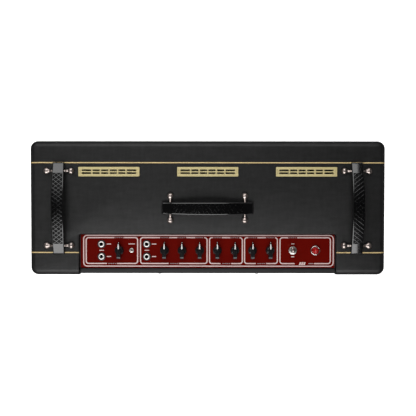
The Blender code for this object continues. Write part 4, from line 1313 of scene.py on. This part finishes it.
def build_lamp():
    place = at(LAMP_X, CONTROL_Y, PANEL_TOP)
    profile = in_metres([(7.5, 3.0), (8.3, 3.5), (9.2, 3.0), (9.75, 1.8), (9.8, 0.3), (7.5, 0.3)])
    ring = closed_ring(lathe("bezel", profile, 72, 0.6 * MM))
    put("lamp_bezel_ring", moved(ring, place), BRIGHT_CHROME, replaces=("pilot_lamp_bezel",))
    profile = in_metres([(0, 1.0), (7.4, 1.0), (7.4, 0.35), (6.2, 0.35), (6.2, -23), (0, -23)])
    stem = lathe("stem", profile, 40)
    put("lamp_socket", moved(stem, place), NICKEL)
    sides = 14
    levels = [  # radius, height, and whether the facets are shifted by half a side
        (7.25, 1.3, 0),
        (7.25, 2.6, 0),
        (6.9, 4.6, 1),
        (5.9, 7.4, 0),
        (4.3, 9.8, 1),
        (2.4, 11.4, 0),
        (0.9, 11.9, 1),
    ]
    points = []
    for radius, height, shift in levels:
        for k in range(sides):
            turn = 2 * math.pi * (k + 0.5 * shift) / sides
            points.append((radius * MM * math.cos(turn), radius * MM * math.sin(turn), height * MM))
    faces = [list(range(sides))[::-1]]
    for i in range(len(levels) - 1):
        shift = levels[i + 1][2] - levels[i][2]
        for k in range(sides):
            a, b = i * sides + k, i * sides + (k + 1) % sides
            c, d = (i + 1) * sides + k, (i + 1) * sides + (k + 1) % sides
            if shift == 0:
                faces.append([a, b, d, c])
            elif shift > 0:
                faces += [[a, b, c], [b, d, c]]
            else:
                faces += [[a, d, c], [a, b, d]]
    faces.append([len(points) - sides + k for k in range(sides)])
    jewel = new_mesh("jewel", points, faces)
    put("lamp_jewel_glass", moved(jewel, place), JEWEL, replaces=("pilot_lamp_jewel",))


# ---- printing on the panel -----------------------------------------------------------------------
INK = 0.05 * MM  # thickness of the print
FRAME_ENDS = (-249.4 * MM, 246.2 * MM)
FRAME_CORNER, FRAME_LINE = 7 * MM, 2.1 * MM
SECTION_CORNER, SECTION_LINE = 5 * MM, 2.2 * MM
SMALL_LABEL = 1.7 * MM  # height of the bars beside the jacks and the bright switch
INK_LEVEL = PANEL_TOP + 0.01 * MM
LABEL_HEIGHT = 1.5 * MM


def line_strip(name, x0, x1, y0, y1, radius, width, gaps=()):
    """A printed line round a rounded rectangle, left out where it runs through a gap box."""
    points = [Vector((x, y, 0)) for x, y in round_rect(x0, x1, y0, y1, radius, 8)]
    path = []
    for a, b in zip(points, points[1:] + points[:1]):
        count = max(1, int((b - a).length / (0.8 * MM)))
        path += [a.lerp(b, i / count) for i in range(count)]
    total = len(path)
    mesh_points, faces = [], []
    for i, place in enumerate(path):
        ahead = (path[(i + 1) % total] - path[i - 1]).normalized()
        side = Vector((ahead.y, -ahead.x, 0)) * width / 2
        for offset, z in ((-side, 0), (side, 0), (side, INK), (-side, INK)):
            mesh_points.append(place + offset + Vector((0, 0, INK_LEVEL + z)))

    def hidden(p):
        return any(abs(p.x - gx) < gw / 2 and abs(p.y - gy) < 3 * MM for gx, gy, gw in gaps)

    shown = [not hidden(p) for p in path]
    for i in range(total):
        j = (i + 1) % total
        if not (shown[i] and shown[j]):
            continue
        a, b = 4 * i, 4 * j
        for k in range(4):
            n = (k + 1) % 4
            faces.append([a + k, a + n, b + n, b + k])
        if not shown[i - 1]:
            faces.append([a + 3, a + 2, a + 1, a])
        if not shown[(j + 1) % total]:
            faces.append([b, b + 1, b + 2, b + 3])
    mesh = new_mesh(name, mesh_points, faces)
    shape = bmesh.new()
    shape.from_mesh(mesh)
    bmesh.ops.delete(shape, geom=[v for v in shape.verts if not v.link_faces], context="VERTS")
    shape.to_mesh(mesh)
    shape.free()
    return mesh


def bar(x, y, length, height, slant=0.0):
    """A small printed bar."""
    a, b = length / 2, height / 2
    corners = [(x - a - slant, y - b), (x + a - slant, y - b), (x + a + slant, y + b), (x - a + slant, y + b)]
    points = [(px, py, z) for z in (INK_LEVEL, INK_LEVEL + INK) for px, py in corners]
    faces = [[3, 2, 1, 0], [4, 5, 6, 7], [0, 1, 5, 4], [1, 2, 6, 5], [2, 3, 7, 6], [3, 0, 4, 7]]
    return new_mesh("bar", points, faces)


SECTIONS = (  # left and right ends seen from above the grille, and the places of the labels in the top line
    (139.1, 241.3, (176.0,)),
    (1.2, 133.4, (86.0, 51.0, 16.0)),
    (-68.8, -3.6, (-19.0, -54.0)),
    (-138.4, -73.2, (-89.2, -124.2)),
    (-243.6, -143.6, (-169.0,)),
)


def build_print():
    top_line, bottom_line = CONTROL_Y - 25.2 * MM, CONTROL_Y + 26.3 * MM  # of the sections
    outer = (CONTROL_Y - 29.6 * MM, CONTROL_Y + 31.5 * MM)
    silver = [line_strip("frame_line", *FRAME_ENDS, *outer, FRAME_CORNER, FRAME_LINE)]
    grey = []
    for i, (x0, x1, labels) in enumerate(SECTIONS):
        x0, x1 = x0 * MM, x1 * MM
        gaps = [(x * MM, top_line, 17 * MM) for x in labels]
        for x in labels:
            for shift, length in ((-5.4, 3.4), (-1.2, 3.4), (3.0, 3.4), (6.4, 2.0)):
                grey.append(bar((x + shift) * MM, top_line, length * MM, LABEL_HEIGHT))
        middle_x = (x0 + x1) / 2
        if i == len(SECTIONS) - 1:
            gaps.append((-191.8 * MM, bottom_line, 38 * MM))
            for shift in (-4.2, 0.0, 4.2):
                silver.append(bar((-188.0 + shift) * MM, bottom_line, 3.4 * MM, 5.6 * MM, 0.9 * MM))
            grey.append(bar(-205.0 * MM, bottom_line, 10 * MM, 1.8 * MM))
        else:
            gaps.append((middle_x, bottom_line, 20 * MM))
            for shift in (-7, -2.8, 1.4, 5.6):
                grey.append(bar(middle_x + shift * MM, bottom_line, 3.2 * MM, LABEL_HEIGHT))
        name = f"section_{i}"
        outline = (x0, x1, top_line, bottom_line)
        silver.append(line_strip(name, *outline, SECTION_CORNER, SECTION_LINE, gaps))
    small = []
    for x in JACK_PAIRS.values():
        for side in (-1, 1):
            small.append(bar(x - 14.4 * MM, CONTROL_Y + side * JACK_SPREAD, 8.4 * MM, SMALL_LABEL))
        small.append(bar(x, CONTROL_Y, 9.2 * MM, SMALL_LABEL))
    small.append(bar(BRIGHT_X, CONTROL_Y - 12.6 * MM, 12.6 * MM, SMALL_LABEL))
    small.append(bar(POWER_X, CONTROL_Y - 13.0 * MM, 6.4 * MM, 1.9 * MM))
    small.append(bar(POWER_X, CONTROL_Y + 12.6 * MM, 6.4 * MM, 2.2 * MM))
    put("panel_lines", joined("lines", silver), SILVER_INK)
    put("panel_labels", joined("labels", grey), GREY_INK)
    put("panel_small_labels", joined("small", small), SILVER_INK)


# ---- rear and inside -----------------------------------------------------------------------------
def paint(nodes, look):
    """Gives carried-over CAD nodes their material."""
    for node in nodes:
        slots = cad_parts[node].data.materials
        if not slots:
            slots.append(look)
        for i in range(len(slots)):
            slots[i] = look


INLET_PINS = ((-7, -1.8), (0, 2.2), (7, -1.8))  # from the inlet's middle, in millimetres


def build_inlet():
    low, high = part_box("mains_inlet")
    x, _, z = middle("mains_inlet")
    face = high.y
    flange = block("flange", (low.x, face - 2.7 * MM, z - 12 * MM), (high.x, face, z + 12 * MM), 1.0 * MM)
    body = block("body", (x - 14 * MM, low.y, z - 9.6 * MM), (x + 14 * MM, face - MM, z + 9.6 * MM), 0.8 * MM)
    cavity = block(
        "cavity",
        (x - 12 * MM, face - 18 * MM, z - 8 * MM),
        (x + 12 * MM, face + 6 * MM, z + 8 * MM),
        radius=1.5 * MM,
        pick=along("Y"),
    )
    shell = joined("inlet", [carved(flange, [cavity.copy()], 0.3 * MM), carved(body, [cavity])])
    put("inlet_shell", smooth(shell, 35), JACK_PLASTIC, replaces=("mains_inlet",))
    for i, (dx, dz) in enumerate(INLET_PINS):
        pin = block(
            "pin",
            (x + (dx - 1) * MM, face - 18.5 * MM, z + (dz - 2) * MM),
            (x + (dx + 1) * MM, face - 3 * MM, z + (dz + 2) * MM),
            0.5 * MM,
        )
        put(f"inlet_pin_{i + 1}", pin, NICKEL)
    for i, dx in enumerate((-20, 20)):
        head = moved(screw_head(2.8 * MM, 1.5 * MM), at(x + dx * MM, face, z) @ REARWARD)
        put(f"inlet_screw_{i + 1}", head, NICKEL)


def build_rear():
    build_inlet()
    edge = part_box("rear_socket_plate")[1]
    for i, x in enumerate(PLATE_SCREWS):
        head = moved(screw_head(3.2 * MM, 1.7 * MM), at(x, edge.y, edge.z - 8 * MM) @ REARWARD)
        put(f"plate_screw_{i + 1}", head, NICKEL)
    paint(("rear_socket_plate", "rear_vent_grille"), BLACK_STEEL)
    paint(("control_chassis", "power_chassis", "reverb_tank"), STEEL)
    paint(("main_board",), BOARD)
    paint(("mains_transformer", "output_transformer"), IRON)
    paint([f"output_valve_{i + 1}" for i in range(4)] + [f"preamp_valve_{i + 1}" for i in range(3)], GLASS)


# ---- stage ---------------------------------------------------------------------------------------
CAMERA_HEIGHT = 1.2  # above the top of the box
VIEW_WIDTH = 0.8194  # at the level of the top of the box
CAMERA_AIM = (-0.6 * MM, -0.3 * MM)
CAMERA_LEAN = math.radians(1.4)  # the eye is a little in front of the middle
CAMERA_ROLL = math.radians(0.05)


SOFTBOXES = (("rear", 1, 31), ("front", -1, 21))  # side and power in watts
SOFTBOX_SHIFT, SOFTBOX_REACH, SOFTBOX_RISE = 0.2, 1.1, 1.25
SOFTBOX_SIZE = (1.8, 1.2)
FILLS = (("front", 0, -2.4, 8), ("rear", 0, 2.4, 8), ("left", 2.6, 0, 3), ("right", -2.6, 0, 3))
FILL_LEVEL = 0.55
FILL_SIZE = (2.4, 0.9)
MIDDLE_LEVEL = 0.14  # that the fills are aimed at
WHITE = (1, 1, 1, 1)
FLOOR_GLOW = 0.9
ROOM_GLOW = 0.04  # of the world as a light
BACKDROP_GLOW = 0.95  # of the world as the camera sees it


def build_stage():
    floor = bpy.data.meshes.new("floor")
    half = 6.0
    corners = [(-half, -half, 0), (half, -half, 0), (half, half, 0), (-half, half, 0)]
    floor.from_pydata(corners, [], [(0, 1, 2, 3)])
    stage = bpy.data.objects.new("floor", floor)
    bpy.context.scene.collection.objects.link(stage)
    stage.visible_glossy = False
    stage.visible_diffuse = False
    look = Look("floor_paper", (0.86, 0.86, 0.86), 0.9)
    look.rough(look.noise(0.4, 2), 0.85, 0.95)
    look.set("Emission Color", WHITE)
    look.set("Emission Strength", FLOOR_GLOW)
    floor.materials.append(look.material)

    camera = bpy.data.cameras.new("camera")
    camera.sensor_width = 36.0
    camera.lens = 36.0 * CAMERA_HEIGHT / VIEW_WIDTH
    eye = bpy.data.objects.new("camera", camera)
    bpy.context.scene.collection.objects.link(eye)
    lean = Matrix.Rotation(CAMERA_LEAN, 4, "X")
    roll = Matrix.Rotation(math.pi + CAMERA_ROLL, 4, "Z")
    eye.matrix_world = at(*CAMERA_AIM, TOP) @ lean @ roll @ at(0, 0, CAMERA_HEIGHT)
    bpy.context.scene.camera = eye


def softbox(name, place, target, size, power):
    light = bpy.data.lights.new(name, "AREA")
    light.shape = "RECTANGLE"
    light.size, light.size_y = size
    light.energy = power
    lamp = bpy.data.objects.new(name, light)
    bpy.context.scene.collection.objects.link(lamp)
    lamp.location = place
    lamp.rotation_euler = (Vector(target) - Vector(place)).to_track_quat("-Z", "Y").to_euler()


def build_lights():
    """Two softboxes over the front and rear, and four weak ones that light the upright sides."""
    for name, side, power in SOFTBOXES:
        place = (SOFTBOX_SHIFT, side * SOFTBOX_REACH, TOP + SOFTBOX_RISE)
        softbox(name + "_softbox", place, (0, 0, TOP), SOFTBOX_SIZE, power)
    for name, x, y, power in FILLS:
        softbox(name + "_fill", (x, y, FILL_LEVEL), (0, 0, MIDDLE_LEVEL), FILL_SIZE, power)
    world = bpy.data.worlds.new("studio")
    world.use_nodes = True
    nodes, links = world.node_tree.nodes, world.node_tree.links
    room, backdrop = nodes["Background"], nodes.new("ShaderNodeBackground")
    for node, glow in ((room, ROOM_GLOW), (backdrop, BACKDROP_GLOW)):
        node.inputs["Color"].default_value = WHITE
        node.inputs["Strength"].default_value = glow
    seen = nodes.new("ShaderNodeLightPath")
    choice = nodes.new("ShaderNodeMixShader")
    links.new(seen.outputs["Is Camera Ray"], choice.inputs[0])
    links.new(room.outputs[0], choice.inputs[1])
    links.new(backdrop.outputs[0], choice.inputs[2])
    links.new(choice.outputs[0], nodes["World Output"].inputs["Surface"])
    bpy.context.scene.world = world
    bpy.context.scene.view_settings.view_transform = "Standard"


build_stage()
build_lights()
build_cabinet()
build_piping()
build_vents()
build_front()
build_back()
build_feet()
build_handles()
build_knobs()
build_jacks()
build_switches()
build_control_board()
build_painted_shade_strip()
build_lamp()
build_print()
build_rear()
paint(("control_panel",), PANEL)
